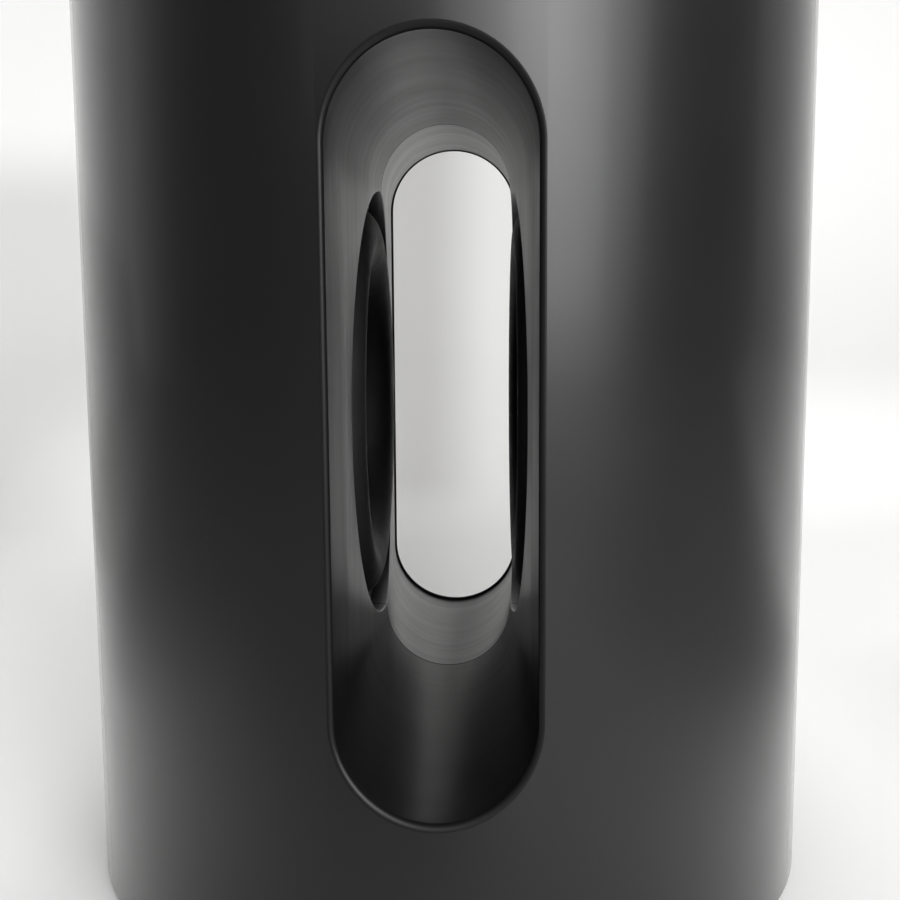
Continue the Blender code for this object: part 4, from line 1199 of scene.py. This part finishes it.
def make_boards():
    for node in ("power_supply_board", "amplifier_board", "button_board"):
        make_piece(node + "_laminate", box(*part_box(node)), "circuit_green", node, edge=(0.15 * MM, 2))
    black = bmesh.new()
    bright = bmesh.new()
    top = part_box("amplifier_board")[1].z
    chips = ((14, 14, 9, 9, 8), (27, 16, 6, 5, 5), (14, 34, 7, 10, 9), (28, 38, 9, 6, 4), (50, 44, 12, 12, 11),
             (56, 64, 6, 8, 7), (-20, 46, 7, 9, 7), (-50, 46, 9, 7, 5), (-18, -12, 6, 8, 6))
    for x, y, width, depth, pins in chips:
        add_chip(black, bright, Vector((x * MM, y * MM, top)), width * MM, depth * MM, pins)
    for x, y in ((22, 50), (36, 10), (60, 50), (-36, 40), (-14, 20), (-60, 60)):
        for step in range(7):
            corner = Vector((x * MM, (y + 2.6 * step) * MM, top))
            merge(black, box(corner, corner + Vector((1.2 * MM, 1.2 * MM, 0.7 * MM))))
            for end in (-0.5, 1.2):
                tip = corner + Vector((end * MM, 0, 0))
                merge(bright, box(tip, tip + Vector((0.5 * MM, 1.2 * MM, 0.72 * MM))))
    make_piece("board_chips", black, "moulded_black")
    make_piece("board_pins", bright, "nickel")


def add_chip(black, bright, base, width, depth, pins):
    """A flat packaged circuit with a row of bent legs on each side."""
    half = Vector((width / 2, depth / 2, 0))
    merge(black, box(base - half + Vector((0, 0, 0.15 * MM)), base + half + Vector((0, 0, 1.5 * MM))))
    pitch = depth / pins
    for pin in range(pins):
        y = base.y - depth / 2 + pitch * (pin + 0.5)
        for side in (-1, 1):
            leg = [(base.x + side * (width / 2 + out * MM), base.z + up * MM) for out, up in (
                (0, 0.9), (0.6, 0.9), (0.8, 0.15), (1.5, 0.15), (1.5, 0), (0.65, 0), (0.45, 0.7), (0, 0.7))]
            merge(bright, extruded(leg, y - pitch * 0.2, y + pitch * 0.2, "Y"))


def make_capacitor(node):
    """A can with a crimped waist and a scored top."""
    low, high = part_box(node)
    radius = (high.x - low.x) / 2
    height = high.z - low.z
    sunk = height - 0.4 * MM
    profile = [(0, 0), (radius - 0.6 * MM, 0), (radius, 0.8 * MM), (radius, 2.4 * MM),
               (radius - 0.7 * MM, 3.0 * MM), (radius, 3.6 * MM), (radius, height),
               (radius - 1.0 * MM, height), (radius - 1.4 * MM, sunk), (0, sunk)]
    radii = in_mm(0, *[0.3] * 5, 0.4, 0.2, 0.2, 0)
    can = new_object(node.replace("bulk", "smoothing"), turned(rounded(profile, radii), 64))
    for turn in (0, 1):
        groove = box((-radius * 0.7, -0.15 * MM, height - 0.6 * MM), (radius * 0.7, 0.15 * MM, 100 * MM))
        cut(can, moved(groove, Matrix.Rotation(math.pi / 2 * turn, 4, "Z")))
    can.data.transform(Matrix.Translation(((low.x + high.x) / 2, (low.y + high.y) / 2, low.z)))
    fit_out(can, "moulded_black", node)


def make_transformer():
    """A ferrite core with two windows and the winding on its middle leg."""
    low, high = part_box("transformer")
    x = (low.x + high.x) / 2
    y = (low.y + high.y) / 2
    above = 1.0
    core = new_object("transformer_core", box((low.x, y - 7 * MM, low.z), (high.x, y + 7 * MM, high.z)))
    for near, far in ((x - 12 * MM, x - 5 * MM), (x + 5 * MM, x + 12 * MM)):
        cut(core, box((near, low.y, low.z + 5 * MM), (far, high.y, high.z - 5 * MM)))
    fit_out(bevelled(core, 0.5 * MM), "ferrite", "transformer")
    outline = rounded(rectangle((x - 10 * MM, low.y), (x + 10 * MM, high.y)), 6 * MM, 8)
    winding = new_object("transformer_winding", extruded(outline, low.z + 6 * MM, high.z - 6 * MM, "Z"))
    cut(winding, box((x - 5.2 * MM, y - 7.2 * MM, 0), (x + 5.2 * MM, y + 7.2 * MM, above)))
    fit_out(bevelled(winding, 0.8 * MM), "paper_tan")


def make_board_parts():
    make_capacitor("bulk_capacitor_1")
    make_capacitor("bulk_capacitor_2")
    make_transformer()
    low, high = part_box("wireless_module")
    rim = 1.2 * MM
    can = new_object("radio_can", box(low, high))
    cut(can, box((low.x + rim, low.y + rim, high.z - 0.3 * MM), (high.x - rim, high.y - rim, 1.0)))
    fit_out(bevelled(can, 0.3 * MM), "nickel", "wireless_module")
    make_heat_sink()


def make_heat_sink():
    """Thin tapered fins on a solid floor."""
    low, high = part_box("heat_sink")
    fins = 7
    lean = 0.35 * MM
    pitch = (high.x - low.x) / (2 * fins - 1)
    floor = low.z + 5 * MM
    outline = [(low.x, low.z)]
    for fin in range(fins):
        start = low.x + 2 * fin * pitch
        end = start + pitch
        outline += [(start, floor), (start + lean, high.z), (end - lean, high.z), (end, floor)]
    outline.append((high.x, low.z))
    make_piece("finned_sink", extruded(outline, low.y, high.y, "Y"), "aluminium", "heat_sink",
               edge=(0.25 * MM, 2))


def make_lining():
    """The absorbent disc under the top, its lower face pressed into soft concentric swells."""
    low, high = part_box("damping_foam")
    swells = 9
    steps = swells * 8
    swell = 2.2 * MM
    edge = 4 * MM
    reach = high.x - edge
    under = []
    for step in range(steps + 1):
        radius = reach * step / steps
        wave = math.cos(radius / reach * swells * math.tau)
        under.append((radius, low.z + swell * (0.5 - 0.5 * wave)))
    rim = [(high.x, low.z + edge), (high.x, high.z - edge), (reach, high.z), (0.0, high.z)]
    make_piece("foam_disc", turned(under + rim, 96), "foam_grey", "damping_foam")


def dress_cad_nodes():
    """Give every CAD node that still shows its procedural finish, by its slot in the record."""
    for part in frame["record"]["subparts"]:
        node = frame["nodes"][part["node"]]
        node.data.materials.clear()
        node.data.materials.append(MATERIALS[part["material_slot"]])


def main():
    make_camera()
    make_lights()
    make_stage()
    dress_cad_nodes()
    make_shell()
    make_top_cap()
    make_tunnel()
    make_driver("left", -1)
    make_driver("right", 1)
    make_base()
    make_foot()
    make_io_panel()
    make_ac_inlet()
    make_ethernet_jack()
    make_join_button()
    make_boards()
    make_board_parts()
    make_lining()


main()
